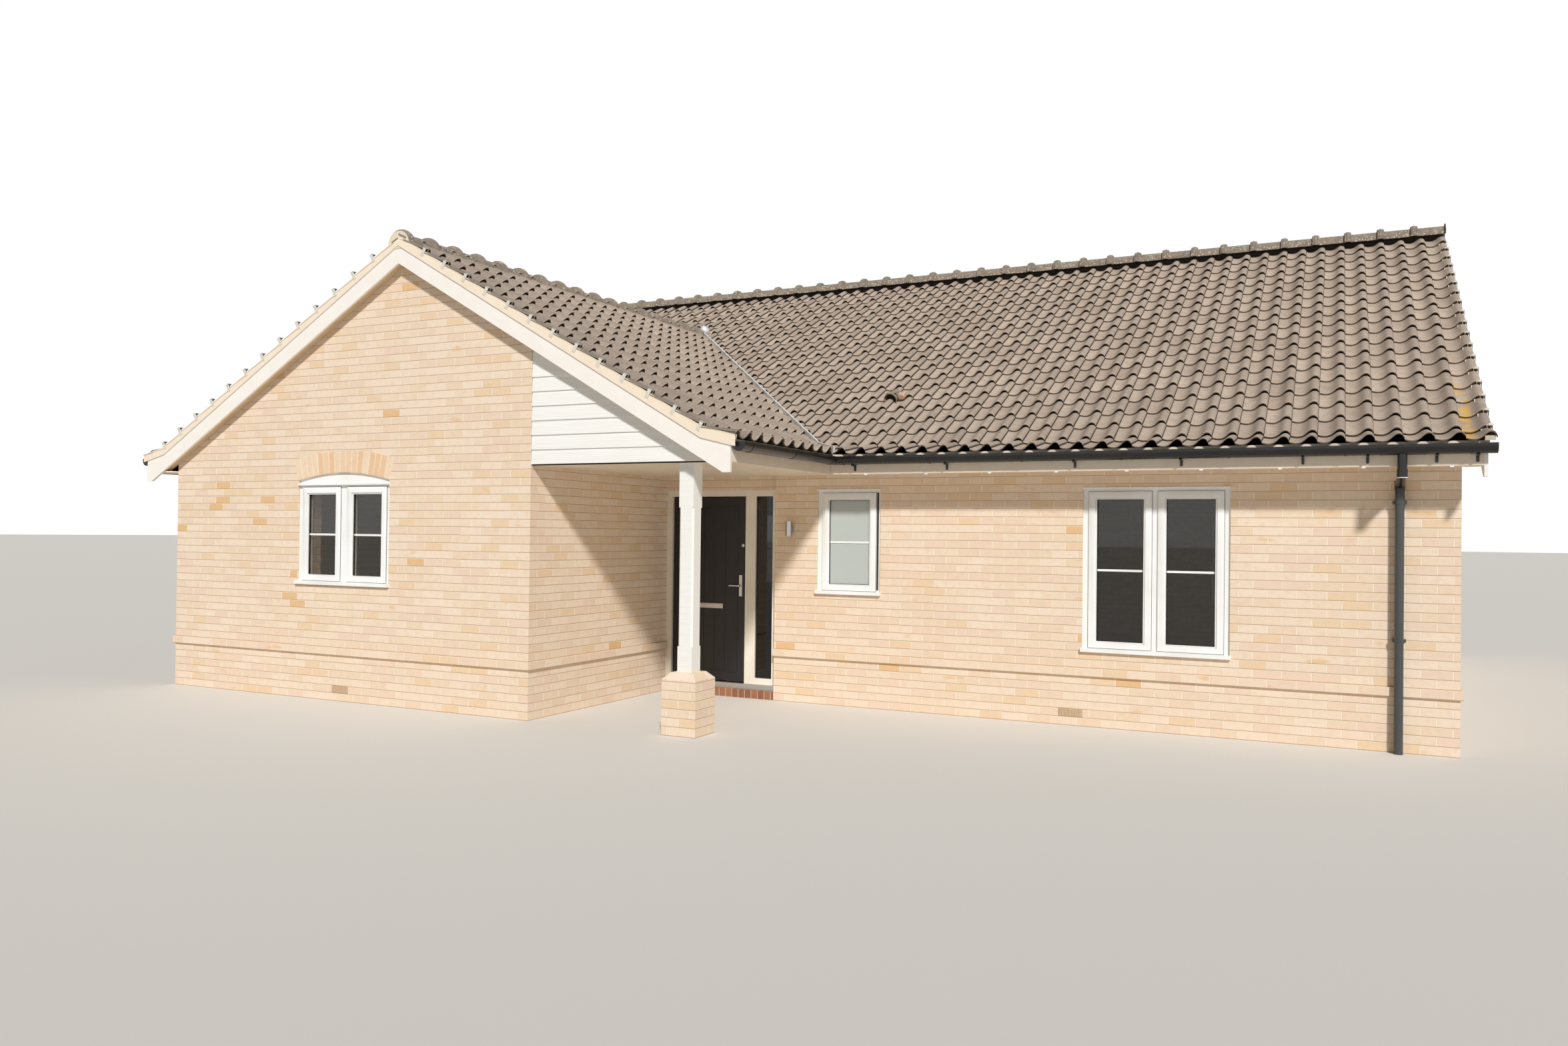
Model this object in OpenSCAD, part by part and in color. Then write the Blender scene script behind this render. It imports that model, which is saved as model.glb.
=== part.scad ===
// Single-storey brick bungalow with a gabled front wing, an open corner porch and a pantiled roof.
// The house is drawn with x = 0 at the porch corner of the wing, y = 0 at the wing's front face and
// z = 0 at the ground, and is then moved so that the origin is under the middle of its box.

/* [Plan] */
// Wing, from the left flank to the porch corner
wing_w = 4770; // [4300:10:5400]
// Porch, from the porch corner to the outer face of its pier
porch_w = 1735; // [1500:5:2100]
// Porch depth, from the wing's front face to the main front wall
porch_d = 2240; // [1900:10:2700]
// Main front wall, from the porch corner to the right gable
main_w = 7360; // [6900:10:8600]
// Main range, from front wall to rear wall
main_d = 8850; // [7800:10:10000]
// Cavity wall, brick face to plaster
wall_t = 300; // [260:10:350]

/* [Walls] */
// Height of one brick course with its joint
course = 75; // [70:1:80]
// Courses below the projecting band
plinth_courses = 6; // [4:1:8]
// Projection of the band course
band_out = 20; // [10:1:30]
// Floor level above the ground
floor_h = 140; // [120:5:200]
// Underside of the soffits and the porch ceiling
soffit_h = 2285; // [2250:5:2500]

/* [Roof] */
// Pitch of every slope
roof_pitch = 29.8; // [26:0.1:36]
// Eaves overhang, wall face to fascia face
overhang = 362; // [300:2:420]
// Height of the tiling's bed over the soffit at the fascia
eaves_rise = 205; // [180:1:240]
// Length of the flatter bell-cast course at the eaves
kick_len = 275; // [200:5:330]
// Pitch of the bell-cast course
kick_pitch = 13.5; // [8:0.5:20]
// Bed between the wall tops and the slopes
wall_bed = 0.3; // [0.2:0.1:0.6]
// Thickness of a slope, square to it
roof_t = 150; // [120:5:180]
// Thickness of the tile edge that shows past fascia and bargeboard
edge_t = 25; // [18:1:32]
// Tile overhang past the fascia
tile_lip = 50; // [35:1:60]
// Tile overhang past the wing's bargeboard
verge_lip = 15; // [10:1:70]

/* [Bargeboards] */
// Wing's gable wall to its bargeboard's outer face
barge_out = 105; // [80:5:140]
// End gable walls to their bargeboards' outer faces
end_out = 140; // [80:5:160]
// Tile overhang past the end bargeboards
end_lip = 55; // [40:5:80]
// Depth of the bargeboard, upright
barge_h = 167; // [150:1:210]
// Depth of the verge strip between bargeboard and tiles
strip_h = 57; // [40:1:70]
// Projection of the verge strip past the bargeboard
strip_out = 10; // [5:1:20]
// Drop of the bargeboard's foot below the soffit
foot_drop = 95; // [60:1:130]
// Thickness of bargeboards and fascias
board_t = 25; // [18:1:32]
// Drop of the fascia below the soffit
fascia_drop = 10; // [5:1:20]
// Thickness of the soffit boards
soffit_t = 12; // [9:1:18]

/* [Ridge] */
// Radius of the half-round ridge tiles
ridge_r = 115; // [100:1:130]
// Centre of the main ridge's tiles over the top of its slopes
ridge_lift = 10; // [0:1:20]
// Centre of the wing ridge's tiles below the top of its slopes
ridge_sink = 70; // [20:1:80]
// Length of one ridge tile
ridge_len = 338; // [300:1:500]
// Bed between the ridges and the slopes
ridge_bed = 0.1; // [0.05:0.05:0.3]
// Gap between the collars and the slopes
collar_bed = 1; // [0.5:0.5:3]
// Mortar set back from the ridge tile's edge
mortar_in = 8; // [5:1:15]
// Width of the collar where ridge tiles meet
collar_w = 80; // [30:1:100]
// Height of the collar over the tile
collar_t = 35; // [5:1:45]

/* [Rainwater] */
// Outer radius of the gutter's round bottom
gutter_r = 57; // [50:1:65]
// Straight upper part of the gutter's sides
gutter_side = 20; // [10:1:30]
// Wall of the gutter
gutter_t = 4; // [3:0.5:5]
// Gap between gutter and fascia
gutter_gap = 6; // [4:1:12]
// Top edge of the gutter below the tiling's bed
gutter_drop = 53; // [45:1:60]
// Diameter of the downpipes
pipe_dia = 68; // [60:1:80]
// Pipe surface to the band course
pipe_gap = 6; // [4:1:20]
// Front downpipe, from the right corner
pipe_in = 430; // [300:5:600]
// Wall of a pipe bracket, round the pipe
clip_t = 4; // [3:1:6]
// Height of a pipe bracket
clip_h = 25; // [20:1:35]
// Width of a pipe bracket's foot on the wall
clip_w = 100; // [90:2:120]
// Lower bracket above the ground
clip_low = 890; // [700:10:1000]
// Upper bracket above the ground
clip_high = 1990; // [1700:10:2010]
// Upper bend of the swan neck below the soffit
neck_drop = 70; // [60:5:90]
// Fall of the swan neck for its reach
neck_fall = 0.2; // [0.15:0.05:0.3]
// Height of a bend's socket
socket_h = 70; // [60:5:90]
// Width of a gutter bracket
bracket_w = 24; // [18:1:32]
// Thickness of a gutter bracket round the gutter
bracket_t = 3; // [2:0.5:4]
// First bracket from a gutter's end
bracket_end = 150; // [120:10:220]
// Most between gutter brackets
bracket_pitch = 900; // [700:50:1000]
// Width of the union round a gutter's outlet
outlet_w = 310; // [180:10:340]
// Overlap where two gutters meet
gutter_lap = 1; // [0.5:0.5:3]
// Gutter's end, back from the tiles' edge
gutter_end = 0; // [0:5:40]

/* [Porch] */
// Side of the brick pier
pier_w = 328; // [300:1:360]
// Courses in the pier
pier_courses = 7; // [5:1:8]
// Splay of the pier's top course
splay = 56; // [40:1:65]
// Side of the timber post
post_w = 140; // [120:2:160]
// Width of the post's chamfers
chamfer = 16; // [8:1:22]
// Square foot of the post below the chamfers
chamfer_low = 215; // [120:5:300]
// Square head of the post above the chamfers
chamfer_high = 375; // [200:5:450]
// Thickness of the boarding over the porch
boards_t = 60; // [40:5:80]

/* [Windows] */
// Top of the window frames
head_h = 2145; // [2080:5:2180]
// Depth of a window frame
frame_d = 70; // [60:5:80]
// Width of frame and sash together, side to glass
frame_w = 118; // [100:2:130]
// Setback of the frames from the wall face
frame_in = 22; // [10:1:40]
// Height of a window sill
sill_h = 34; // [30:2:55]
// Height of frame and sash together, sill to glass
foot_rail = 75; // [60:1:110]
// Projection of the sill past the wall face
sill_out = 32; // [20:2:45]
// Height of the drip mould over a frame
drip_h = 16; // [12:1:22]
// Thickness of the glass
glass_t = 24; // [20:1:28]
// Lap of the glass behind the sash at its top and bottom
sash_lap = 14; // [8:1:18]
// Sill past the frame at each end
sill_ear = 10; // [5:1:20]
// Projection of the drip mould
drip_out = 12; // [8:1:16]
// Width between the glass of the large window's two sashes
mullion_w = 186; // [160:2:230]
// Width between the glass of the wing window's two sashes
wing_mullion_w = 226; // [180:2:250]
// Wing window, from the left flank
wing_win_in = 1840; // [1500:10:2200]
// Wing window width
wing_win_w = 1235; // [1000:5:1400]
// Wing window height
wing_win_h = 1005; // [900:5:1200]
// Wing window, from the frame's top up to the springing of the arch
spring_up = 30; // [20:1:45]
// Rise of the arch over the wing window
arch_rise = 76; // [50:1:110]
// Small window, left side
small_x = 1805; // [1550:5:2100]
// Small window width
small_w = 675; // [500:5:800]
// Small window height
small_h = 1041; // [900:5:1250]
// Large window, left side
large_x = 4428; // [3500:5:4900]
// Large window width
large_w = 1240; // [1000:5:1500]
// Large window height
large_h = 1473; // [1200:5:1650]
// Rear windows, from the corners
rear_win_in = 1400; // [1000:10:2000]

/* [Door] */
// Setback of the door from the main front wall
recess = 65; // [40:1:100]
// Setback of the frame from the wall over it
set_in = 6; // [4:1:12]
// Width of the frame's posts and head
jamb_w = 62; // [50:1:70]
// Width of the door leaf
leaf_w = 876; // [820:2:900]
// Thickness of the door leaf
leaf_t = 44; // [40:1:54]
// Clearance round the leaf
leaf_gap = 8; // [7.5:0.5:10]
// Width of the posts between door and side light
side_post_w = 120; // [100:1:130]
// Width of the side light's glass
side_glass_w = 196; // [160:2:260]
// Width of the leaf's border round its panel
stile_w = 110; // [90:5:130]
// Depth of the leaf's panel
panel_in = 4; // [3:1:8]
// Length of a hinge's arm on frame and leaf
hinge_arm = 34; // [28:1:40]
// Running play between hinge knuckles
hinge_play = 1; // [0.5:0.5:2]
// Lever handle above the ground
handle_z = 1150; // [1050:10:1250]
// Length of the lever
lever_l = 125; // [110:5:140]
// Radius of the lever
lever_r = 9; // [7:0.5:11]
// Projection of the lever from its plate
lever_out = 50; // [40:2:60]
// Thickness of handle plate and letter plate
plate_t = 7; // [5:1:10]
// Width of the handle plate
plate_w = 36; // [30:1:45]
// Height of the handle plate
plate_h = 220; // [180:5:250]
// Letter plate above the ground
letter_z = 905; // [700:5:1000]
// Width of the letter plate
letter_w = 340; // [280:10:380]
// Height of the letter plate
letter_h = 50; // [40:2:80]
// Wall light, from the porch corner
light_x = 1510; // [1400:10:1650]
// Middle of the wall light above the ground
light_z = 1750; // [1600:10:1900]
// Radius of the wall light's body
light_r = 32; // [25:1:45]
// Height of the wall light's body
light_h = 150; // [110:5:200]
// Space between the wall light's body and its rose
light_gap = 12; // [8:1:20]
// Rose of the wall light past its body
rose_w = 6; // [4:1:12]
// Threshold past the wall over the door
threshold_out = 30; // [20:1:45]
// Height of the brick step
step_h = 84; // [60:1:110]
// Radius of a hinge pin
pin_r = 6; // [5:0.5:8]
// Wall of a hinge knuckle
knuckle_t = 5; // [4:0.5:6]
// Height of one hinge
hinge_h = 100; // [80:5:120]
// Middle of the outer hinges, from the leaf's ends
hinge_end = 220; // [180:10:260]
// Running clearance of a hinge
hinge_gap = 0.3; // [0.2:0.1:0.5]
// Clearance between a hinge's barrel and the door's face
hinge_clear = 6; // [5.5:0.5:8]

/* [Hidden] */
$fn = 48;
t = tan(roof_pitch);
kick = tan(kick_pitch);
roof_v = roof_t / cos(roof_pitch);
wing_half = (wing_w + porch_w) / 2 + overhang;
main_half = main_d / 2 + overhang;
ridge_x = (porch_w - wing_w) / 2;
ridge_y = porch_d + main_d / 2;
rear_y = porch_d + main_d;
eaves_h = soffit_h + eaves_rise;
wing_top = slope_top(wing_half);
main_top = slope_top(main_half);
valley_y = ridge_y - (main_half - wing_half);
verge = barge_out + verge_lip;
end_verge = end_out + end_lip;
wing_lip = wing_half + tile_lip;
left_x = -wing_w - end_verge;
right_x = main_w + end_verge;
left_valley_y = valley_y - (ridge_x - left_x);
fascia_top = eaves_h - edge_t;
gutter_top = eaves_h - gutter_drop;
gutter_c = gutter_gap + gutter_r;
pipe_off = band_out + pipe_gap + pipe_dia / 2;
far = 20000;
// How far a cut runs past what it cuts
past = 1;
// The house's box, for the origin under its middle
box_left = -wing_w - overhang - gutter_c - gutter_r - bracket_t;
box_rear = rear_y + overhang + gutter_c + gutter_r + bracket_t;
org_x = (box_left + right_x) / 2;
org_y = (box_rear - verge) / 2;
wing_win_x = -wing_w + wing_win_in;
door_y = porch_d + recess;
leaf_x = jamb_w + leaf_gap;
leaf_z = floor_h + leaf_gap;
leaf_h = head_h - jamb_w - leaf_gap - leaf_z;
side_x = jamb_w + 2 * leaf_gap + leaf_w + side_post_w;
set_w = side_x + side_glass_w + jamb_w;
door_in_y = door_y + set_in + frame_d;
leaf_y = door_in_y - leaf_t;
knuckle_r = pin_r + knuckle_t;
pin_x = jamb_w + leaf_gap / 2;
pin_y = door_in_y + knuckle_r + hinge_clear;
hinge_zs = [leaf_z + hinge_end, leaf_z + leaf_h / 2, leaf_z + leaf_h - hinge_end];
// Unseen sides repeat the front's two kinds of window
rear_large_xs = [-wing_w + rear_win_in, main_w - rear_win_in - large_w];
rear_small_x = (main_w - wing_w - small_w) / 2;
end_window_y = ridge_y - small_w / 2;

// Height of the tiling's bed at the ridge of a slope
function slope_top(half) = eaves_h + kick_len * kick + (half - kick_len) * t;
// Height of the tiling's bed at a distance u from the ridge
function bed(half, u) = u < half - kick_len ? slope_top(half) - u * t
    : eaves_h + (half - u) * kick;
// Underside of a slope at a distance u from the ridge, and the top of a wall there
function under(half, u) = slope_top(half) - roof_v - u * t;
function wall_top(half, u) = under(half, u) - wall_bed;

// Section of one slope, from its ridge down to the tile edge, as distance from the ridge and height
function slope_section(half) = [[0, slope_top(half)], [half - kick_len, bed(half, half - kick_len)],
    [half + tile_lip, bed(half, half + tile_lip)], [half + tile_lip, bed(half, half + tile_lip) - edge_t],
    [half, fascia_top], [half - board_t, fascia_top], [half - board_t, soffit_h + soffit_t],
    [(slope_top(half) - roof_v - soffit_h - soffit_t) / t, soffit_h + soffit_t],
    [0, slope_top(half) - roof_v]];
// The thin tile edge that runs on over a bargeboard
function edge_section(half) = [[0, slope_top(half)], [half - kick_len, bed(half, half - kick_len)],
    [half + tile_lip, bed(half, half + tile_lip)], [half + tile_lip, bed(half, half + tile_lip) - edge_t],
    [half - kick_len, bed(half, half - kick_len) - edge_t], [0, slope_top(half) - edge_t]];
// One leg of a bargeboard with its boxed foot
function barge_section(half) = [[0, slope_top(half) - edge_t],
    [half - kick_len, bed(half, half - kick_len) - edge_t], [half, fascia_top],
    [half, soffit_h - foot_drop],
    [(slope_top(half) - edge_t - strip_h - barge_h - soffit_h + foot_drop) / t, soffit_h - foot_drop],
    [0, slope_top(half) - edge_t - strip_h - barge_h]];
// The verge strip over it
function strip_section(half) = [[0, slope_top(half) - edge_t],
    [half - kick_len, bed(half, half - kick_len) - edge_t], [half, fascia_top],
    [half, fascia_top - strip_h], [half - kick_len, bed(half, half - kick_len) - edge_t - strip_h],
    [0, slope_top(half) - edge_t - strip_h]];

module place() translate([-org_x, -org_y, 0]) children();

// Profiles in x and z, drawn along y from y0 to y1
module along_y(y0, y1) translate([0, y1, 0]) rotate([90, 0, 0]) linear_extrude(y1 - y0) children();

// Profiles in y and z, drawn along x from x0 to x1
module along_x(x0, x1) translate([x0, 0, 0]) rotate([90, 0, 90]) linear_extrude(x1 - x0) children();

module block(p, q) translate(p) cube(q - p);

// Strip of the projecting band course. Each wall's strip starts inside that wall, and corner strips run on
module band(p, q) block([p[0], p[1], plinth_courses * course], [q[0], q[1], (plinth_courses + 1) * course]);

module floor_slab() color("silver") place() linear_extrude(floor_h) polygon([
    [-wing_w + wall_t, wall_t], [-wall_t, wall_t], [-wall_t, porch_d + wall_t],
    [0, porch_d + wall_t], [0, door_in_y], [set_w, door_in_y],
    [set_w, porch_d + wall_t], [main_w - wall_t, porch_d + wall_t],
    [main_w - wall_t, rear_y - wall_t], [-wing_w + wall_t, rear_y - wall_t]]);

// Opening for the wing's window, with its segmental arch
arch_w = wing_win_w / 2;
arch_r = (arch_w * arch_w + arch_rise * arch_rise) / (2 * arch_rise);
arch_z = head_h + spring_up + arch_rise - arch_r;
arch_x = wing_win_x + arch_w;
module arched_opening() {
    translate([wing_win_x, head_h - wing_win_h]) square([wing_win_w, wing_win_h + spring_up]);
    intersection() {
        translate([arch_x, arch_z]) circle(arch_r, $fn = 180);
        translate([wing_win_x, head_h]) square([wing_win_w, spring_up + arch_rise]);
    }
}

module front_gable_wall() color("wheat") place() {
    along_y(0, wall_t) difference() {
        polygon([[-wing_w, 0], [0, 0], [0, wall_top(wing_half, -ridge_x)],
            [ridge_x, wall_top(wing_half, 0)], [-wing_w, wall_top(wing_half, wing_half - overhang)]]);
        arched_opening();
    }
    band([-wing_w, -band_out], [0, band_out]);
    band([-band_out, -band_out], [band_out, 0]);
}

module porch_side_wall() color("wheat") place() {
    along_y(wall_t, porch_d + wall_t) polygon([[-wall_t, 0], [0, 0], [0, wall_top(wing_half, -ridge_x)],
        [-wall_t, wall_top(wing_half, -ridge_x - wall_t)]]);
    band([0, 0], [band_out, door_y]);
    band([-band_out, wall_t], [band_out, door_y]);
}

// Section of the main front wall between two heights, with its top cut to the slope
module front_section(y0, z0) polygon([[y0, z0], [porch_d + wall_t, z0],
    [porch_d + wall_t, wall_top(main_half, main_half - overhang - wall_t)],
    [y0, wall_top(main_half, ridge_y - y0)]]);

module wall_over_door() color("wheat") place() along_x(0, set_w) front_section(door_y, head_h);

module main_front_wall() color("wheat") place() {
    difference() {
        along_x(set_w, main_w) front_section(porch_d, 0);
        for (w = [[small_x, small_w, small_h], [large_x, large_w, large_h]])
            block([w[0], porch_d - past, head_h - w[2]], [w[0] + w[1], porch_d + wall_t + past, head_h]);
    }
    band([set_w, porch_d - band_out], [main_w, porch_d + band_out]);
}

// Gable of the main range in y and z
module main_gable(y0) polygon([[y0, 0], [rear_y, 0],
    [rear_y, wall_top(main_half, main_half - overhang)], [ridge_y, wall_top(main_half, 0)],
    [y0, wall_top(main_half, ridge_y - y0)]]);

module end_opening() translate([end_window_y, head_h - small_h]) square([small_w, small_h]);

module right_gable_wall() color("wheat") place() {
    along_x(main_w - wall_t, main_w) difference() {
        intersection() {
            main_gable(porch_d + wall_t);
            square([rear_y - wall_t, far]);
        }
        end_opening();
    }
    band([main_w, porch_d - band_out], [main_w + band_out, rear_y + band_out]);
    band([main_w - band_out, porch_d + wall_t], [main_w + band_out, rear_y - wall_t]);
}

module rear_wall() color("wheat") place() {
    difference() {
        along_x(-wing_w, main_w) polygon([[rear_y - wall_t, 0], [rear_y, 0],
            [rear_y, wall_top(main_half, main_half - overhang)],
            [rear_y - wall_t, wall_top(main_half, main_half - overhang - wall_t)]]);
        for (x = rear_large_xs) block([x, rear_y - wall_t - past, head_h - large_h], [x + large_w, rear_y + past, head_h]);
        block([rear_small_x, rear_y - wall_t - past, head_h - small_h], [rear_small_x + small_w, rear_y + past, head_h]);
    }
    band([-wing_w, rear_y - band_out], [main_w, rear_y + band_out]);
}

module left_flank_wall() color("wheat") place() {
    along_y(wall_t, porch_d) polygon([[-wing_w, 0], [-wing_w + wall_t, 0],
        [-wing_w + wall_t, wall_top(wing_half, wing_half - overhang - wall_t)],
        [-wing_w, wall_top(wing_half, wing_half - overhang)]]);
    along_x(-wing_w, -wing_w + wall_t) difference() {
        intersection() {
            main_gable(porch_d);
            square([rear_y - wall_t, far]);
        }
        end_opening();
    }
    band([-wing_w - band_out, -band_out], [-wing_w, rear_y + band_out]);
    band([-wing_w - band_out, wall_t], [-wing_w + band_out, rear_y - wall_t]);
}

module porch_pier() color("wheat") place() translate([porch_w - pier_w, 0, 0]) {
    cube([pier_w, pier_w, pier_courses * course - splay]);
    translate([pier_w / 2, pier_w / 2, pier_courses * course - splay])
        linear_extrude(splay, scale = 1 - 2 * splay / pier_w) square(pier_w, center = true);
}

module porch_post() color("white") place() {
    z0 = pier_courses * course;
    translate([porch_w - pier_w / 2, pier_w / 2, z0]) difference() {
        translate([-post_w / 2, -post_w / 2, 0]) cube([post_w, post_w, soffit_h - z0]);
        for (a = [0:90:270]) rotate(a) translate([post_w / 2, post_w / 2, chamfer_low])
            rotate(45) translate([-chamfer / sqrt(2), -chamfer, 0])
                cube([chamfer * 2, chamfer * 2, soffit_h - z0 - chamfer_low - chamfer_high]);
    }
}

module porch_boards() color("white") place() along_y(0, boards_t) polygon([[0, soffit_h],
    [ridge_x + (wing_top - roof_v - soffit_h) / t, soffit_h], [0, under(wing_half, -ridge_x)]]);

module porch_ceiling() color("tan") place() translate([0, 0, soffit_h]) linear_extrude(soffit_t) polygon([
    [0, boards_t], [porch_w + overhang - board_t, boards_t], [porch_w + overhang - board_t, porch_d],
    [set_w, porch_d], [set_w, door_y], [0, door_y]]);

// A slope cut to its outline in plan
module cut_to(plan) intersection() {
    children();
    linear_extrude(far) polygon(plan);
}

module main_slope(side, x0, x1, open0, open1) {
    pts = [for (p = slope_section(main_half)) [ridge_y - side * p[0], p[1]]];
    edge = [for (p = edge_section(main_half)) [ridge_y - side * p[0], p[1]]];
    along_x(x0 + open0, x1 - open1) polygon(pts);
    if (open0 > 0) along_x(x0, x0 + open0) polygon(edge);
    if (open1 > 0) along_x(x1 - open1, x1) polygon(edge);
}

module wing_slope(side) {
    pts = [for (p = slope_section(wing_half)) [ridge_x + side * p[0], p[1]]];
    edge = [for (p = edge_section(wing_half)) [ridge_x + side * p[0], p[1]]];
    along_y(-verge, -verge + verge_lip + board_t) polygon(edge);
    along_y(-verge + verge_lip + board_t, valley_y) polygon(pts);
}

module main_roof_front() color("dimgray") place() cut_to([[ridge_x, valley_y],
    [ridge_x + wing_lip, valley_y - wing_lip], [right_x, valley_y - wing_lip],
    [right_x, ridge_y], [ridge_x, ridge_y]])
    main_slope(1, ridge_x, right_x, 0, end_lip + board_t);

module main_roof_left() color("dimgray") place() cut_to([[ridge_x, valley_y],
    [ridge_x, ridge_y], [left_x, ridge_y], [left_x, left_valley_y]])
    main_slope(1, left_x, ridge_x, end_lip + board_t, 0);

module main_roof_rear() color("dimgray") place()
    main_slope(-1, left_x, right_x, end_lip + board_t, end_lip + board_t);

module wing_roof_right() color("dimgray") place() cut_to([[ridge_x, -verge],
    [ridge_x + wing_lip, -verge], [ridge_x + wing_lip, valley_y - wing_lip], [ridge_x, valley_y]])
    wing_slope(1);

module wing_roof_left() color("dimgray") place() cut_to([[ridge_x, -verge],
    [ridge_x - wing_lip, -verge], [ridge_x - wing_lip, left_valley_y], [left_x, left_valley_y],
    [ridge_x, valley_y]])
    wing_slope(-1);

// Half-round ridge tile on its mortar, in profile about the ridge line, with its centre at height rise.
// It ends at lift over the slopes
module ridge_profile(r, rise, lift) {
    w = ridge_r - mortar_in;
    difference() {
        union() {
            translate([0, rise]) circle(r);
            if (rise > -w * t) translate([-w, -w * t - past]) square([2 * w, w * t + rise + past]);
        }
        translate([-2 * r, rise - 2 * r]) square([2 * r - w, 2 * r]);
        translate([w, rise - 2 * r]) square([2 * r - w, 2 * r]);
        translate([0, lift])
            polygon([[0, 0], [2 * r, -2 * r * t], [2 * r, -4 * r], [-2 * r, -4 * r], [-2 * r, -2 * r * t]]);
    }
}

// Tiles with a raised collar at each joint
module ridge_run(length, rise) {
    linear_extrude(length) ridge_profile(ridge_r, rise, ridge_bed);
    for (z = [ridge_len:ridge_len:length - collar_w]) translate([0, 0, z]) linear_extrude(collar_w)
        ridge_profile(ridge_r + collar_t, rise, collar_bed);
}

module main_ridge() color("gray") place()
    translate([left_x, ridge_y, main_top]) rotate([90, 0, 90]) ridge_run(right_x - left_x, ridge_lift);

// The wing's ridge runs back until the main slope covers it
module wing_ridge() color("gray") place() difference() {
    translate([ridge_x, -barge_out, wing_top]) rotate([90, 0, 180])
        ridge_run(valley_y + barge_out + 2 * ridge_r / t, -ridge_sink);
    along_x(ridge_x - 2 * ridge_r, ridge_x + 2 * ridge_r)
        polygon([[ridge_y, main_top + ridge_bed], [ridge_y, 0], [ridge_y - (main_top + ridge_bed) / t, 0]]);
}

// Both legs of a gable's bargeboard, with the verge strip standing past it, in profile from y = 0
module bargeboard(half, mid) {
    along_y(0, board_t) for (side = [-1, 1])
        polygon([for (p = barge_section(half)) [mid + side * p[0], p[1]]]);
    along_y(-strip_out, board_t) for (side = [-1, 1])
        polygon([for (p = strip_section(half)) [mid + side * p[0], p[1]]]);
}

module front_bargeboard() color("white") place() translate([0, -barge_out, 0]) bargeboard(wing_half, ridge_x);

// The left one's front leg stops where the wing's roof meets the main roof
module end_bargeboards() color("white") place() {
    translate([main_w + end_out, 0, 0]) rotate(90) bargeboard(main_half, ridge_y);
    intersection() {
        translate([-wing_w - end_out, 0, 0]) rotate(-90) bargeboard(main_half, -ridge_y);
        translate([-far, left_valley_y + end_lip + board_t, 0]) cube([2 * far, far, far]);
    }
}

// Fascia board standing on a face, between two corners in plan
module fascia(p, q) block([p[0], p[1], soffit_h - fascia_drop], [q[0], q[1], fascia_top]);

module front_fascias() color("antiquewhite") place() {
    fascia([porch_w + overhang - board_t, -barge_out + board_t], [porch_w + overhang, porch_d - overhang + board_t]);
    fascia([porch_w + overhang - board_t, porch_d - overhang], [main_w + end_out - board_t, porch_d - overhang + board_t]);
}

module rear_fascias() color("antiquewhite") place() {
    fascia([-wing_w - overhang, -barge_out + board_t], [-wing_w - overhang + board_t, left_valley_y]);
    fascia([-wing_w - end_out + board_t, rear_y + overhang - board_t], [main_w + end_out - board_t, rear_y + overhang]);
}

module soffit(p, q) block([p[0], p[1], soffit_h], [q[0], q[1], soffit_h + soffit_t]);

module eaves_soffits() color("antiquewhite") place() {
    soffit([porch_w + overhang - board_t, porch_d - overhang + board_t], [main_w + end_out - board_t, porch_d]);
    soffit([-wing_w - overhang + board_t, -barge_out + board_t], [-wing_w, left_valley_y]);
    soffit([-wing_w - end_out + board_t, rear_y], [main_w + end_out - board_t, rear_y + overhang - board_t]);
}

// Gutter in profile, open at the top, with the fascia's face at x = 0
module trough(r) translate([gutter_c, -gutter_side]) {
    circle(r);
    translate([-r, 0]) square([2 * r, gutter_side]);
}

module below_rim() intersection() {
    children();
    translate([0, -far]) square([far, far]);
}

// Strap of the gutter's own shape round its outside, at z along the run
module strap(z, width) translate([0, 0, z]) linear_extrude(width) below_rim() difference() {
    union() {
        trough(gutter_r + bracket_t);
        translate([0, -gutter_side - gutter_r / 2]) square([gutter_gap, gutter_side + gutter_r / 2]);
    }
    trough(gutter_r - gutter_t);
}

module gutter_run(length, start_cap, end_cap, outlets) {
    linear_extrude(length) below_rim() difference() {
        trough(gutter_r);
        trough(gutter_r - gutter_t);
    }
    if (start_cap) linear_extrude(gutter_t) below_rim() trough(gutter_r);
    if (end_cap) translate([0, 0, length - gutter_t]) linear_extrude(gutter_t) below_rim() trough(gutter_r);
    // Brackets hold the gutter to the fascia, and a union is round each outlet
    steps = ceil((length - 2 * bracket_end) / bracket_pitch);
    for (i = [0:steps]) strap(bracket_end + i * (length - 2 * bracket_end - bracket_w) / steps, bracket_w);
    for (z = outlets) strap(z - outlet_w / 2, outlet_w);
}

module front_gutter() color("black") place() {
    x = porch_w + overhang;
    y = porch_d - overhang;
    lap = gutter_lap;
    cut_to([[x - lap, y + 2 * lap], [x + far, y + lap - far], [x - lap, y - far]])
        translate([x, board_t - barge_out, gutter_top]) rotate([90, 0, 0]) mirror([0, 0, 1])
            gutter_run(y - gutter_gap + barge_out - board_t, true, false, []);
    cut_to([[x - 2 * lap, y + lap], [x + far, y - lap - far], [x + far, y + lap]])
        translate([x + gutter_gap, y, gutter_top]) rotate([90, 0, 90]) mirror([1, 0, 0])
            gutter_run(right_x - gutter_end - x - gutter_gap, false, true, [main_w - pipe_in - x - gutter_gap]);
}

module rear_gutters() color("black") place() {
    translate([-wing_w - overhang, board_t - barge_out, gutter_top]) rotate([90, 0, 0]) mirror([0, 0, 1])
        mirror([1, 0, 0]) gutter_run(left_valley_y + barge_out - board_t, true, true, [pipe_in + barge_out - board_t]);
    start = left_x + gutter_end;
    translate([start, rear_y + overhang, gutter_top]) rotate([90, 0, 90])
        gutter_run(right_x - gutter_end - start, true, true, [-wing_w + pipe_in - start, main_w - pipe_in - start]);
}

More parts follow.
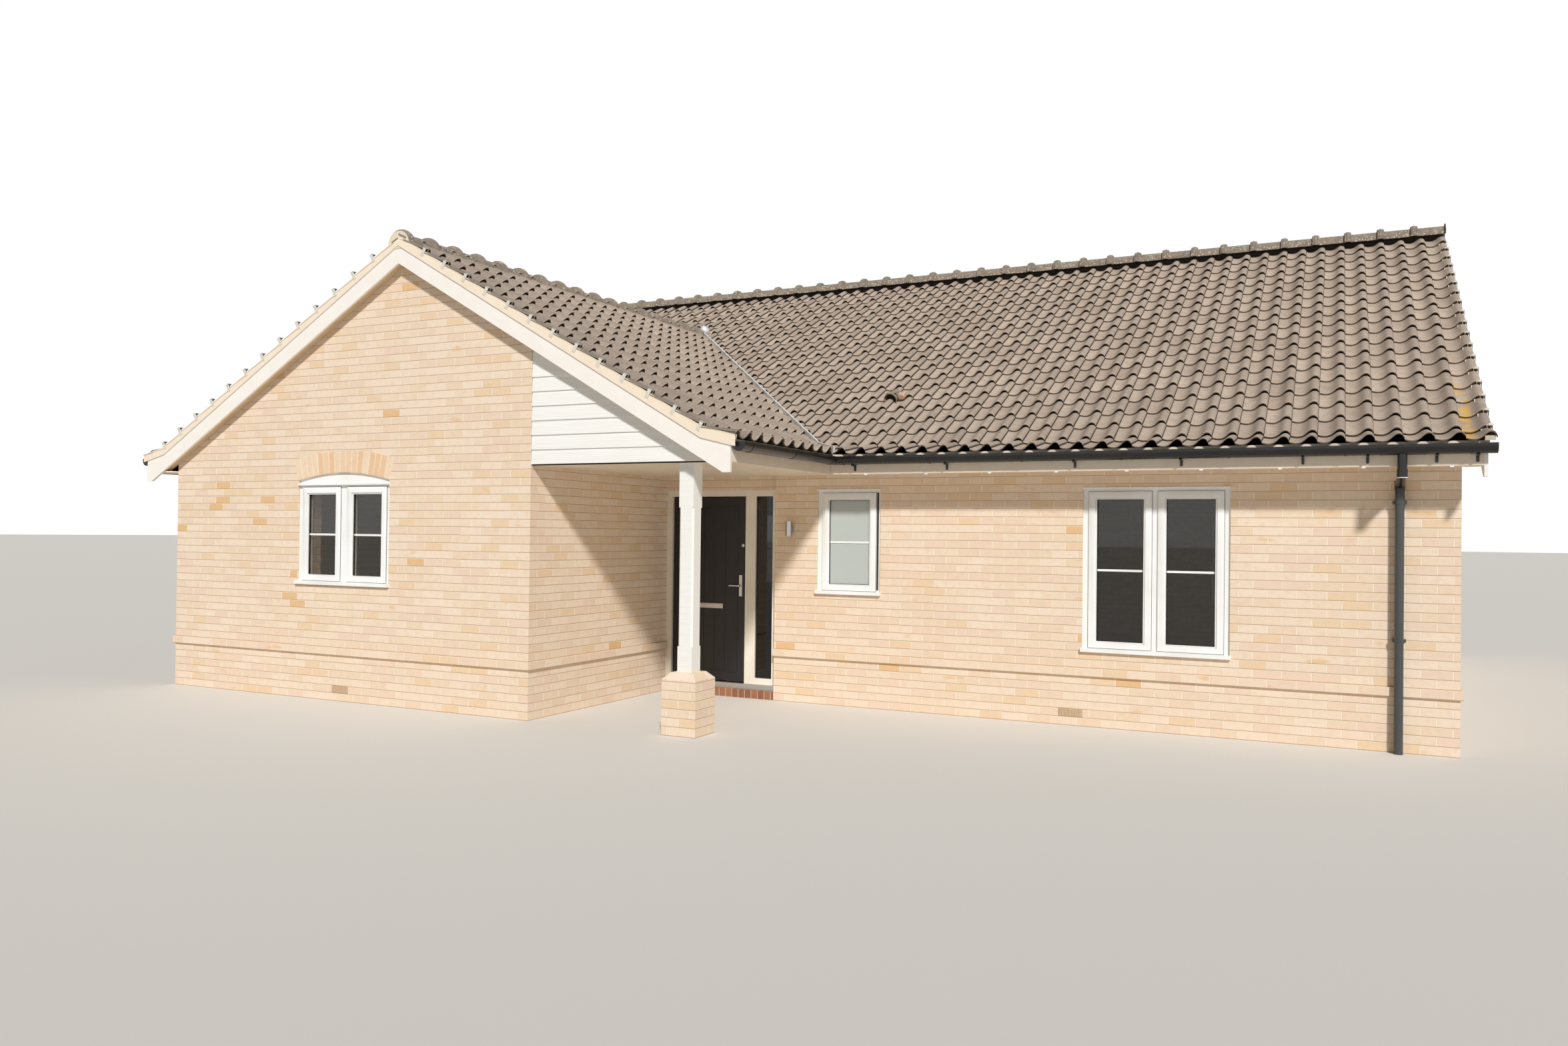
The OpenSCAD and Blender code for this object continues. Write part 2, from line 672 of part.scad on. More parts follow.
// Downpipe below a gutter's outlet at x = y = 0, its swan neck leading along y to the wall
module downpipe() {
    r = pipe_dia / 2;
    reach = overhang + gutter_c - pipe_off;
    z1 = soffit_h - neck_drop;
    z2 = z1 - reach * neck_fall;
    difference() {
        translate([0, 0, z1]) cylinder(h = gutter_top - gutter_side - z1, r = r);
        translate([-pipe_dia, 0, gutter_top - gutter_side]) rotate([0, 90, 0])
            cylinder(h = 2 * pipe_dia, r = gutter_r + bracket_t);
    }
    translate([0, 0, z1]) rotate([-90 - atan(neck_fall), 0, 0]) cylinder(h = norm([reach, z1 - z2]), r = r);
    translate([0, reach, 0]) cylinder(h = z2, r = r);
    for (p = [[0, z1], [reach, z2]]) translate([0, p[0], p[1] - socket_h / 2]) cylinder(h = socket_h, r = r + clip_t);
    for (z = [clip_low, clip_high]) translate([0, reach, z]) {
        cylinder(h = clip_h, r = r + clip_t);
        translate([-clip_w / 2, 0, 0]) cube([clip_w, pipe_off, clip_h]);
    }
}

module front_downpipe() color("black") place()
    translate([main_w - pipe_in, porch_d - overhang - gutter_c, 0]) downpipe();

module rear_downpipes() color("black") place() {
    for (x = [-wing_w + pipe_in, main_w - pipe_in])
        translate([x, rear_y + overhang + gutter_c, 0]) rotate(180) downpipe();
    translate([-wing_w - overhang - gutter_c, pipe_in, 0]) rotate(-90) downpipe();
}

// Holes in a window of width w and height h, with count lights and m between their glass
module lights_of(w, h, count, m, y0, y1) {
    gw = (w - 2 * frame_w - (count - 1) * m) / count;
    for (i = [0:count - 1]) translate([frame_w + i * (gw + m), 0, 0])
        block([0, y0, head_h - h + sill_h + foot_rail - sash_lap], [gw, y1, head_h - frame_w + sash_lap]);
}

// Frame of a window seen from outside, with its left side at x
module window_frame(x, w, h, count, m) translate([x, 0, 0]) {
    z = head_h - h;
    difference() {
        block([0, frame_in, z], [w, frame_in + frame_d, head_h]);
        lights_of(w, h, count, m, 0, frame_in + frame_d + past);
    }
    block([-sill_ear, -sill_out, z], [w + sill_ear, 0, z + sill_h]);
    block([0, -past, z], [w, frame_in + past, z + sill_h]);
    block([0, -drip_out, head_h - drip_h], [w, frame_in + past, head_h]);
}

module window_glass(x, w, h, count, m) translate([x, 0, 0])
    lights_of(w, h, count, m, frame_in + (frame_d - glass_t) / 2, frame_in + (frame_d + glass_t) / 2);

module wing_window_frame() color("white") place() {
    window_frame(wing_win_x, wing_win_w, wing_win_h, 2, wing_mullion_w);
    along_y(frame_in, frame_in + frame_d) intersection() {
        arched_opening();
        translate([wing_win_x, head_h - past]) square([wing_win_w, spring_up + arch_rise + past]);
    }
}

module main_window_frames() color("white") place() translate([0, porch_d, 0]) {
    window_frame(small_x, small_w, small_h, 1, 0);
    window_frame(large_x, large_w, large_h, 2, mullion_w);
}

module rear_face() translate([0, rear_y, 0]) rotate(180) children();

module left_face() translate([-wing_w, end_window_y + small_w, 0]) rotate(-90) children();

module right_face() translate([main_w, end_window_y, 0]) rotate(90) children();

module rear_window_frames() color("white") place() rear_face() {
    for (x = rear_large_xs) window_frame(-x - large_w, large_w, large_h, 2, mullion_w);
    window_frame(-rear_small_x - small_w, small_w, small_h, 1, 0);
}

module end_window_frames() color("white") place() {
    left_face() window_frame(0, small_w, small_h, 1, 0);
    right_face() window_frame(0, small_w, small_h, 1, 0);
}

module front_window_glass() color("lightblue", 0.4) place() {
    window_glass(wing_win_x, wing_win_w, wing_win_h, 2, wing_mullion_w);
    translate([0, porch_d, 0]) {
        window_glass(small_x, small_w, small_h, 1, 0);
        window_glass(large_x, large_w, large_h, 2, mullion_w);
    }
}

module rear_window_glass() color("lightblue", 0.4) place() rear_face() {
    for (x = rear_large_xs) window_glass(-x - large_w, large_w, large_h, 2, mullion_w);
    window_glass(-rear_small_x - small_w, small_w, small_h, 1, 0);
}

module end_window_glass() color("lightblue", 0.4) place() {
    left_face() window_glass(0, small_w, small_h, 1, 0);
    right_face() window_glass(0, small_w, small_h, 1, 0);
}

// Door frame and side light in one set, with the fixed knuckles and pin of each hinge
module door_frame() color("antiquewhite") place() {
    y0 = door_y + set_in;
    difference() {
        block([0, y0, floor_h], [set_w, door_in_y, head_h]);
        block([jamb_w, y0 - past, floor_h - past], [jamb_w + leaf_w + 2 * leaf_gap, door_in_y + past, head_h - jamb_w]);
        block([side_x, y0 - past, floor_h + jamb_w], [side_x + side_glass_w, door_in_y + past, head_h - jamb_w]);
    }
    for (z = hinge_zs) {
        translate([pin_x, pin_y, z - hinge_h / 2]) cylinder(h = hinge_h, r = pin_r);
        for (s = [z - hinge_h / 2, z + hinge_h / 4]) {
            translate([pin_x, pin_y, s]) cylinder(h = hinge_h / 4, r = knuckle_r);
            block([jamb_w - hinge_arm, door_in_y - past, s], [jamb_w, pin_y, s + hinge_h / 4]);
        }
    }
}

module door_leaf() color("#1c1b1e") place() {
    difference() {
        block([leaf_x, leaf_y, leaf_z], [leaf_x + leaf_w, leaf_y + leaf_t, leaf_z + leaf_h]);
        // Shallow panel on the outer face
        block([leaf_x + stile_w, leaf_y - past, leaf_z + stile_w],
            [leaf_x + leaf_w - stile_w, leaf_y + panel_in, leaf_z + leaf_h - stile_w]);
    }
    k = hinge_h / 4 - hinge_play;
    for (z = hinge_zs) difference() {
        union() {
            translate([pin_x, pin_y, z - k]) cylinder(h = 2 * k, r = knuckle_r);
            block([leaf_x, door_in_y - past, z - k], [leaf_x + hinge_arm, pin_y, z + k]);
        }
        translate([pin_x, pin_y, z - hinge_h]) cylinder(h = 2 * hinge_h, r = pin_r + hinge_gap);
    }
}

// Lever handle on its plate, and the letter plate
module door_furniture() color("silver") place() {
    hx = leaf_x + leaf_w - stile_w / 2;
    lx = leaf_x + (leaf_w - letter_w) / 2;
    block([hx - plate_w / 2, leaf_y - plate_t, handle_z - plate_h / 2], [hx + plate_w / 2, leaf_y, handle_z + plate_h / 2]);
    translate([hx, leaf_y - plate_t + past, handle_z]) rotate([90, 0, 0]) cylinder(h = lever_out + past, r = lever_r);
    translate([hx + lever_r, leaf_y - plate_t - lever_out + lever_r, handle_z]) rotate([0, -90, 0])
        cylinder(h = lever_l, r = lever_r);
    block([lx, leaf_y + panel_in - plate_t, letter_z], [lx + letter_w, leaf_y + panel_in, letter_z + letter_h]);
}

module side_light_glass() color("lightblue", 0.4) place() block(
    [side_x, door_y + set_in + (frame_d - glass_t) / 2, floor_h + jamb_w],
    [side_x + side_glass_w, door_y + set_in + (frame_d + glass_t) / 2, head_h - jamb_w]);

module door_threshold() color("silver") place() block([0, door_y - threshold_out, step_h], [set_w, door_in_y, floor_h]);

// Up-and-down wall light on its rose
module wall_light() color("silver") place() translate([light_x, porch_d, light_z]) {
    translate([0, -light_r - plate_t - light_gap, -light_h / 2]) cylinder(h = light_h, r = light_r);
    rotate([90, 0, 0]) cylinder(h = plate_t, r = light_r + rose_w);
    translate([-light_r / 2, -light_r - plate_t - light_gap, -light_r / 2])
        cube([light_r, light_r + plate_t + light_gap, light_r]);
}

module door_step() color("sienna") place() block([0, porch_d, 0], [set_w, door_in_y, step_h]);

floor_slab();
front_gable_wall();
porch_side_wall();
wall_over_door();
main_front_wall();
right_gable_wall();
rear_wall();
left_flank_wall();
porch_pier();
porch_post();
porch_boards();
porch_ceiling();
main_roof_front();
main_roof_left();
main_roof_rear();
wing_roof_left();
wing_roof_right();
main_ridge();
wing_ridge();
front_bargeboard();
end_bargeboards();
front_fascias();
rear_fascias();
eaves_soffits();
front_gutter();
rear_gutters();
front_downpipe();
rear_downpipes();
wing_window_frame();
main_window_frames();
rear_window_frames();
end_window_frames();
front_window_glass();
rear_window_glass();
end_window_glass();
door_frame();
door_leaf();
door_furniture();
side_light_glass();
door_threshold();
door_step();
wall_light();
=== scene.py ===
import math

import bpy
from mathutils import Matrix, Vector


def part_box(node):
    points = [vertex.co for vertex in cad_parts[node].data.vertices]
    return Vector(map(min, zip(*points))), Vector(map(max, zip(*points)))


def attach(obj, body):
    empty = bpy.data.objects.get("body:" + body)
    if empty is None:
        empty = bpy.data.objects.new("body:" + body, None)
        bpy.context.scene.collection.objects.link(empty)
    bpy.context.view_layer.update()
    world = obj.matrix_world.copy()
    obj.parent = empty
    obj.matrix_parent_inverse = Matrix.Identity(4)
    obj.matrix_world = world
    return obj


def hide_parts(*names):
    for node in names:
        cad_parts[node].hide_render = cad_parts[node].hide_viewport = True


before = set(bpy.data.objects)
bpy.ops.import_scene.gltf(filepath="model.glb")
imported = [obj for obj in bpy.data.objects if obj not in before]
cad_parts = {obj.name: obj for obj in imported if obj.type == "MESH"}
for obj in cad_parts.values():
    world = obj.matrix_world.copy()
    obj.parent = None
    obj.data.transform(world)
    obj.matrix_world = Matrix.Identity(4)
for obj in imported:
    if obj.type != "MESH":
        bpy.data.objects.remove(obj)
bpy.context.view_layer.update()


# Walls: cavity walls in buff facing bricks of 215 by 65 mm, laid in stretcher bond with 10 mm joints
# of pale mortar that are struck in under each course. One course projects as a band above the plinth.
brick_length = 0.225
brick_course = 0.075
joint = 0.010
# The porch corner of the wing, from which everything is set out in metres
corner = Vector((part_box("door_frame")[0].x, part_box("porch_boards")[0].y, 0.0))


def linear(colour):
    """An sRGB hex colour as linear red, green, blue and alpha."""
    parts = [int(colour[i:i + 2], 16) / 255 for i in (1, 3, 5)]
    return [p / 12.92 if p <= 0.04045 else ((p + 0.055) / 1.055) ** 2.4 for p in parts] + [1.0]


def link(source, socket):
    """Links an input to an output, or to a node's first output that is in use."""
    if isinstance(source, bpy.types.Node):
        source = next(output for output in source.outputs if output.enabled)
    socket.id_data.links.new(source, socket)


def add(material, kind, inputs=None, **settings):
    """Adds one node with its settings. Each input gets a value, or a link from a node or an output."""
    node = material.node_tree.nodes.new("ShaderNode" + kind)
    for key, value in settings.items():
        setattr(node, key, value)
    for key, value in (inputs or {}).items():
        if isinstance(value, (bpy.types.Node, bpy.types.NodeSocket)):
            link(value, node.inputs[key])
        else:
            node.inputs[key].default_value = value
    return node


def new_material(name, **values):
    """A material with its shader's own values, and the place on the piece in metres."""
    material = bpy.data.materials.new(name)
    material.use_nodes = True
    shader = material.node_tree.nodes["Principled BSDF"]
    for key, value in values.items():
        shader.inputs[key.replace("_", " ").title().replace("Ior", "IOR")].default_value = value
    place = add(material, "TexCoord").outputs["Object"]
    return material, shader, place


def set_stops(ramp, stops):
    """Gives a colour ramp its colours, each from its place on."""
    elements = ramp.color_ramp.elements
    while len(elements) > 1:
        elements.remove(elements[-1])
    elements[0].position = stops[0][0]
    elements[0].color = linear(stops[0][1])
    for place, colour in stops[1:]:
        elements.new(place).color = linear(colour)


def coat(material, skin, value, bare, full, most, colour):
    """Lays a colour over a skin: none where a value is at its first limit, the most of it at its second."""
    amount = add(material, "MapRange", {"Value": value, "From Min": bare, "From Max": full, "To Max": most})
    return add(material, "Mix", {0: amount, 6: skin, 7: linear(colour)}, data_type="RGBA")


def dress(nodes, material):
    for name in nodes:
        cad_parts[name].data.materials.clear()
        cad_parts[name].data.materials.append(material)


brick, shader, place = new_material("buff_facing_brick", roughness=0.86)
set_out = add(brick, "Mapping", {"Vector": place, "Location": -corner})
at = add(brick, "SeparateXYZ", {"Vector": set_out})
normal = add(brick, "SeparateXYZ", {"Vector": add(brick, "NewGeometry").outputs["True Normal"]})
side_on = add(brick, "Math", {0: normal.outputs["X"]}, operation="ABSOLUTE")
side_on = add(brick, "Math", {0: side_on, 1: 0.6}, operation="GREATER_THAN")
level = add(brick, "Math", {0: normal.outputs["Z"], 1: 0.8}, operation="GREATER_THAN")
# Side walls start with a half brick where front walls start with a whole one, as at a real corner
turned = add(brick, "Math", {0: at.outputs["Y"], 1: brick_length / 2}, operation="ADD")
along = add(brick, "Mix", {0: side_on, 2: at.outputs["X"], 3: turned})
rise = add(brick, "Mix", {0: level, 2: at.outputs["Z"], 3: at.outputs["Y"]})
wall_face = add(brick, "CombineXYZ", {"X": along, "Y": rise})
bond = add(brick, "TexBrick", {
    "Vector": wall_face, "Color1": (0, 0, 0, 1), "Color2": (1, 1, 1, 1), "Mortar": (0, 0, 0, 1),
    "Scale": 1.0, "Mortar Size": joint / 2, "Mortar Smooth": 0.15, "Bias": 0.0,
    "Brick Width": brick_length, "Row Height": brick_course}, offset=0.5, squash=1.0)
# Mixed firings: most bricks are cream or pinkish, and a few are orange
firing = add(brick, "ValToRGB", {"Fac": bond})
firing.color_ramp.interpolation = "CONSTANT"
set_stops(firing, [(0.0, "#ead5be"), (0.24, "#e7cfb5"), (0.44, "#ecd8c2"), (0.62, "#e7ceb8"),
                   (0.78, "#e9d3ba"), (0.90, "#e6caa8"), (0.985, "#dfb684")])
# Kiln marks some 60 mm across on the face of each brick
marks = add(brick, "TexNoise", {"Vector": wall_face, "Scale": 17.0, "Detail": 5.0})
face = coat(brick, firing, marks, 0.48, 0.78, 0.45, "#dcc09c")
# Smears of orange sand facing on some bricks, longer than they are high
smear = add(brick, "Mapping", {"Vector": wall_face, "Scale": (2.6, 9.0, 1.0)})
smear = add(brick, "TexNoise", {"Vector": smear, "Scale": 1.0, "Detail": 2.0})
face = coat(brick, face, smear, 0.68, 0.76, 0.55, "#dfae6c")
# Weathering a few metres across
weather = add(brick, "TexNoise", {"Vector": place, "Scale": 0.7, "Detail": 3.0})
face = coat(brick, face, weather, 0.4, 0.75, 0.20, "#e2c9ad")
# The upper part of each bed joint, next to the brick above, is painted darker: painted shade where the joint
# is struck in under that brick
course_part = add(brick, "Math", {0: rise, 1: brick_course}, operation="DIVIDE")
course_part = add(brick, "Math", {0: course_part}, operation="FRACT")
bed_joint_shade = add(brick, "Math", {0: course_part, 1: 0.070}, operation="LESS_THAN")
mortar = add(brick, "Mix", {0: bed_joint_shade, 6: linear("#f1e3cd"), 7: linear("#b79672")}, data_type="RGBA")
face = add(brick, "Mix", {0: bond.outputs["Fac"], 6: face, 7: mortar}, data_type="RGBA")
link(face, shader.inputs["Base Color"])
# Sand facing about 3 mm deep in relief, drawn at 8 mm grain so that it shows
grain = add(brick, "TexNoise", {"Vector": place, "Scale": 120.0, "Detail": 3.0})
relief = add(brick, "Math", {0: grain, 1: 0.35}, operation="MULTIPLY")
relief = add(brick, "Math", {0: relief, 1: bond.outputs["Fac"]}, operation="SUBTRACT")
relief = add(brick, "Bump", {"Height": relief, "Strength": 0.7, "Distance": 0.005})
link(relief, shader.inputs["Normal"])
dress(["front_gable_wall", "porch_side_wall", "wall_over_door", "main_front_wall", "right_gable_wall",
       "rear_wall", "left_flank_wall", "porch_pier"], brick)


# Ground floor and door step: a power-floated concrete slab inside the walls, and a step of red-brown
# bricks on edge under the front door. Trowel marks and aggregate show as a faint mottle.
def tinted(name, scale, detail, tones, stretch=None, **values):
    """A material whose colour wanders between two tones; also its shader, place, pattern and tone."""
    material, shader, place = new_material(name, **values)
    if stretch:
        place = add(material, "Mapping", {"Vector": place, "Scale": stretch})
    pattern = add(material, "TexNoise", {"Vector": place, "Scale": scale, "Detail": detail})
    tone = add(material, "ValToRGB", {"Fac": pattern})
    set_stops(tone, tones)
    link(tone, shader.inputs["Base Color"])
    return material, shader, place, pattern, tone


concrete = tinted("power_floated_concrete", 6.0, 8.0, [(0.3, "#a9a59d"), (0.7, "#c0bcb3")], roughness=0.8)[0]
dress(["floor_slab"], concrete)

step_brick, shader, place = new_material("red_brown_step_brick", roughness=0.85)
on_edge = add(step_brick, "TexBrick", {
    "Vector": place, "Color1": linear("#8a5a43"), "Color2": linear("#a06d50"), "Mortar": linear("#b8a58c"),
    "Scale": 1.0, "Mortar Size": joint / 2, "Mortar Smooth": 0.2, "Brick Width": brick_course,
    "Row Height": brick_length}, offset=0.0)
link(on_edge, shader.inputs["Base Color"])
worn = add(step_brick, "Bump", {
    "Height": on_edge.outputs["Fac"], "Strength": 0.6, "Distance": 0.004}, invert=True)
link(worn, shader.inputs["Normal"])
dress(["door_step"], step_brick)


# Arch over the wing window: seventeen bricks stood on end round a flat segmental arch, each cut to
# 65 by 215 mm and bedded in pale mortar, standing a few millimetres proud of the wall.
arch_middle = Vector((-2.3125, 0.0, -0.2956))
arch_radius = 2.5466
arch_half_angle = math.radians(14.03)
soldier_count = 17


def only(piece):
    """Makes a piece the only one that operators act on."""
    bpy.ops.object.select_all(action="DESELECT")
    piece.select_set(True)
    bpy.context.view_layer.objects.active = piece
    return piece


def begin(operator, **settings):
    """Adds a primitive with nothing else selected."""
    bpy.ops.object.select_all(action="DESELECT")
    operator(**settings)
    return bpy.context.object


def settle(piece):
    """Brings a piece's place, turn and scale into its mesh."""
    only(piece)
    bpy.ops.object.transform_apply(location=True, rotation=True, scale=True)
    return piece


def shape(piece, operator, **settings):
    """Runs one edit-mode operator on the whole mesh of a piece."""
    only(piece)
    bpy.ops.object.mode_set(mode="EDIT")
    bpy.ops.mesh.select_all(action="SELECT")
    operator(**settings)
    bpy.ops.object.mode_set(mode="OBJECT")
    return piece


def block(low, high, rounding=0.0):
    """A block between two corners, with all its edges rounded."""
    low, high = Vector(low), Vector(high)
    piece = begin(bpy.ops.mesh.primitive_cube_add, size=1, location=(low + high) / 2)
    piece.scale = high - low
    settle(piece)
    if rounding:
        shape(piece, bpy.ops.mesh.bevel, offset=rounding, segments=1, affect="EDGES")
    return piece


def another(piece, move=None):
    """A copy of a piece with its own mesh, moved by a matrix."""
    twin = piece.copy()
    twin.data = piece.data.copy()
    bpy.context.collection.objects.link(twin)
    if move is not None:
        twin.data.transform(move)
    return twin


def join(pieces):
    only(pieces[0])
    for piece in pieces:
        piece.select_set(True)
    bpy.ops.object.join()
    return pieces[0]


def fit(piece, name, material, body="house", smooth=40, replaced=()):
    """Names a finished piece, brings it from the porch corner to the shared frame and fixes it there."""
    settle(piece)
    piece.data.transform(Matrix.Translation(corner))
    bpy.ops.object.shade_smooth_by_angle(angle=math.radians(smooth))
    piece.name = name
    piece.data.name = name
    piece.data.materials.clear()
    piece.data.materials.append(material)
    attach(piece, body)
    if replaced:
        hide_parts(*replaced)
    return piece


arch_rise = Vector((0, 0, arch_radius + 0.110))
soldier = block((-0.0325, -0.004, -0.1075), (0.0325, 0.03, 0.1075), 0.002)
soldiers = []
for i in range(soldier_count):
    angle = arch_half_angle * ((2 * i + 1) / soldier_count - 1)
    turn = Matrix.Translation(arch_middle) @ Matrix.Rotation(angle, 4, "Y") @ Matrix.Translation(arch_rise)
    soldiers.append(another(soldier, turn))
bpy.data.objects.remove(soldier)
arch = join(soldiers)
arch_brick, shader, place = new_material("buff_arch_brick", roughness=0.86)
each = add(arch_brick, "Attribute", attribute_name="firing").outputs["Fac"]
firing = add(arch_brick, "ValToRGB", {"Fac": each})
set_stops(firing, [(0.0, "#ebd3b6"), (0.4, "#e8c9a8"), (0.75, "#e5c09b"), (1.0, "#dfb68a")])
firing.color_ramp.interpolation = "CONSTANT"
marks = add(arch_brick, "TexNoise", {"Vector": place, "Scale": 17.0, "Detail": 5.0})
link(coat(arch_brick, firing, marks, 0.48, 0.78, 0.45, "#d8b184"), shader.inputs["Base Color"])
grain = add(arch_brick, "TexNoise", {"Vector": place, "Scale": 120.0, "Detail": 3.0})
grain = add(arch_brick, "Bump", {"Height": grain, "Strength": 0.4, "Distance": 0.003})
link(grain, shader.inputs["Normal"])
# One firing for each brick along the arch
faces_each = len(arch.data.polygons) // soldier_count
firings = arch.data.attributes.new("firing", "FLOAT", "FACE")
for i in range(len(arch.data.polygons)):
    firings.data[i].value = (0.37 * (i // faces_each) ** 1.7) % 1.0
fit(arch, "window_arch_bricks", arch_brick, smooth=20)

# The mortar between them is one slice of the arch, spun round it
arch_bed = begin(bpy.ops.mesh.primitive_cube_add, size=1,
                 location=arch_middle + arch_rise + Vector((0, 0.008, 0)))
arch_bed.scale = (0.001, 0.02, 0.219)
settle(arch_bed)
arch_bed.data.transform(Matrix.Translation(arch_middle) @ Matrix.Rotation(-arch_half_angle, 4, "Y")
                        @ Matrix.Translation(-arch_middle))
bpy.ops.object.mode_set(mode="EDIT")
bpy.ops.mesh.select_all(action="DESELECT")
bpy.ops.object.mode_set(mode="OBJECT")
for face in arch_bed.data.polygons:
    face.select = face.normal.x > 0.9
bpy.ops.object.mode_set(mode="EDIT")
bpy.ops.mesh.spin(steps=34, angle=-2 * arch_half_angle, center=arch_middle, axis=(0, 1, 0))
bpy.ops.object.mode_set(mode="OBJECT")
shape(arch_bed, bpy.ops.mesh.remove_doubles, threshold=0.00005)
shape(arch_bed, bpy.ops.mesh.normals_make_consistent, inside=False)
lime, shader, _, sand, _ = tinted(
    "pale_bedding_mortar", 90.0, 6.0, [(0.3, "#ddccb0"), (0.7, "#ecdfc8")], roughness=0.95)
rough = add(lime, "Bump", {"Height": sand, "Strength": 0.5, "Distance": 0.002})
link(rough, shader.inputs["Normal"])
fit(arch_bed, "window_arch_mortar", lime)


# Air bricks: buff clay louvres of 215 by 65 mm set in the plinth, one in the wing's front and one in the
# main front wall, each with three rows of nine bars.
clay = tinted("buff_clay_air_brick", 60.0, 5.0, [(0.3, "#b99f80"), (0.7, "#cdb595")], roughness=0.9)[0]
bars = [block((0, -0.006, 0), (0.215, 0.004, 0.065), 0.001)]
for row in range(3):
    for i in range(9):
        low = Vector((0.010 + i * 0.022, -0.011, 0.009 + row * 0.018))
        bars.append(block(low, low + Vector((0.005, 0.006, 0.012)), 0.001))
louvre = join(bars)
for name, spot in (("front_air_brick", (4.225, 2.240, 0.085)), ("wing_air_brick", (-2.42, 0.0, 0.085))):
    fit(another(louvre, Matrix.Translation(spot)), name, clay)
bpy.data.objects.remove(louvre)


# Windows: flush white vinyl casements. Each light is a sash of 58 mm rails, 47 mm at its foot, standing
# 14 mm proud of the frame, round a sealed glass unit with one slim glazing bar across its middle.
porch_depth = 2.240
rear = 11.090
wing_width = 4.770
main_width = 7.360
window_head = 2.145
side_to_glass = 0.118
head_to_glass = 0.104
sill_to_glass = 0.061
sill_depth = 0.034
frame_face = 0.022
# From the frame's opening out to the sash's edge, the width of its rails, and how far it stands forward
sash_reach = 0.068
sash_rail = 0.058
sash_proud = 0.014
vinyl, shader, place = tinted("white_window_vinyl", 3.0, 6.0, [(0.35, "#f4f4f2"), (0.75, "#e9e8e3")],
                              roughness=0.32, ior=1.52)[:3]
# Embossed grain of the foil, drawn at 4 mm
emboss = add(vinyl, "TexNoise", {"Vector": place, "Scale": 250.0, "Detail": 2.0})
emboss = add(vinyl, "Bump", {"Height": emboss, "Strength": 0.12, "Distance": 0.001})
link(emboss, shader.inputs["Normal"])
dress(["wing_window_frame", "main_window_frames", "rear_window_frames", "end_window_frames"], vinyl)

gasket = tinted("black_rubber_gasket", 40.0, 4.0, [(0.3, "#1a1a1a"), (0.8, "#2a2a29")], roughness=0.6)[0]


def ring(low, high, rail, y_out, y_in, rounding):
    """A rectangular ring in the wall's plane, inset from a plate and pushed out to its thickness."""
    piece = begin(bpy.ops.mesh.primitive_plane_add, size=1, rotation=(math.pi / 2, 0, 0),
                  location=((low[0] + high[0]) / 2, y_in, (low[1] + high[1]) / 2))
    piece.scale = (high[0] - low[0], high[1] - low[1], 1)
    settle(piece)
    bpy.ops.object.mode_set(mode="EDIT")
    bpy.ops.mesh.select_all(action="SELECT")
    bpy.ops.mesh.inset(thickness=rail, depth=0)
    bpy.ops.mesh.delete(type="FACE")
    bpy.ops.mesh.select_all(action="SELECT")
    bpy.ops.mesh.extrude_region_move(TRANSFORM_OT_translate={"value": (0, y_out - y_in, 0)})
    bpy.ops.mesh.select_all(action="SELECT")
    bpy.ops.mesh.normals_make_consistent(inside=False)
    if rounding:
        bpy.ops.mesh.bevel(offset=rounding, segments=1, affect="EDGES")
    bpy.ops.object.mode_set(mode="OBJECT")
    return piece


def ring_round(opening, reach, rail, y_out, y_in, rounding=0):
    """A ring whose outer edge lies outside an opening of left, right, foot and head by a reach."""
    left, right, foot, head = opening
    return ring((left - reach, foot - reach), (right + reach, head + reach), rail, y_out, y_in, rounding)


def light_openings(width, height, lights, mullion):
    """Left, right, foot and head of the frame's opening for each light."""
    glass = (width - 2 * side_to_glass - (lights - 1) * mullion) / lights
    foot = window_head - height + sill_depth + sill_to_glass
    head = window_head - head_to_glass
    return [(side_to_glass + i * (glass + mullion), side_to_glass + i * (glass + mullion) + glass, foot, head)
            for i in range(lights)]


def casements(windows):
    """Sashes and bars, and the gaskets round the glass, for a list of windows and their places."""
    rails = []
    seals = []
    for spot, width, height, lights, mullion in windows:
        for opening in light_openings(width, height, lights, mullion):
            left, right, foot, head = opening
            # The sash's foot rail stops just over the sill
            low = sill_depth + 0.004 + window_head - height
            sash = ring_round(opening, sash_reach, sash_rail, frame_face - sash_proud,
                              frame_face + 0.004, 0.003)
            for vertex in sash.data.vertices:
                vertex.co.z = max(vertex.co.z, low)
            parts = [sash, ring_round(opening, 0.007, 0.010, frame_face - 0.004, frame_face + 0.012, 0.002)]
            middle = (foot + head) / 2
            for y in (frame_face + 0.017, frame_face + 0.047):
                parts.append(block((left, y, middle - 0.010), (right, y + 0.006, middle + 0.010), 0.002))
            rail = join(parts)
            rail.data.transform(spot)
            rails.append(rail)
            seal = ring_round(opening, 0, 0.007, frame_face + 0.012, frame_face + 0.022)
            reach = sash_reach + 0.003
            edge = ring((left - reach, low - 0.003), (right + reach, head + reach), 0.006,
                        frame_face - 0.003, frame_face + 0.004, 0)
            seal = join([seal, edge])
            seal.data.transform(spot)
            seals.append(seal)
    return join(rails), join(seals)


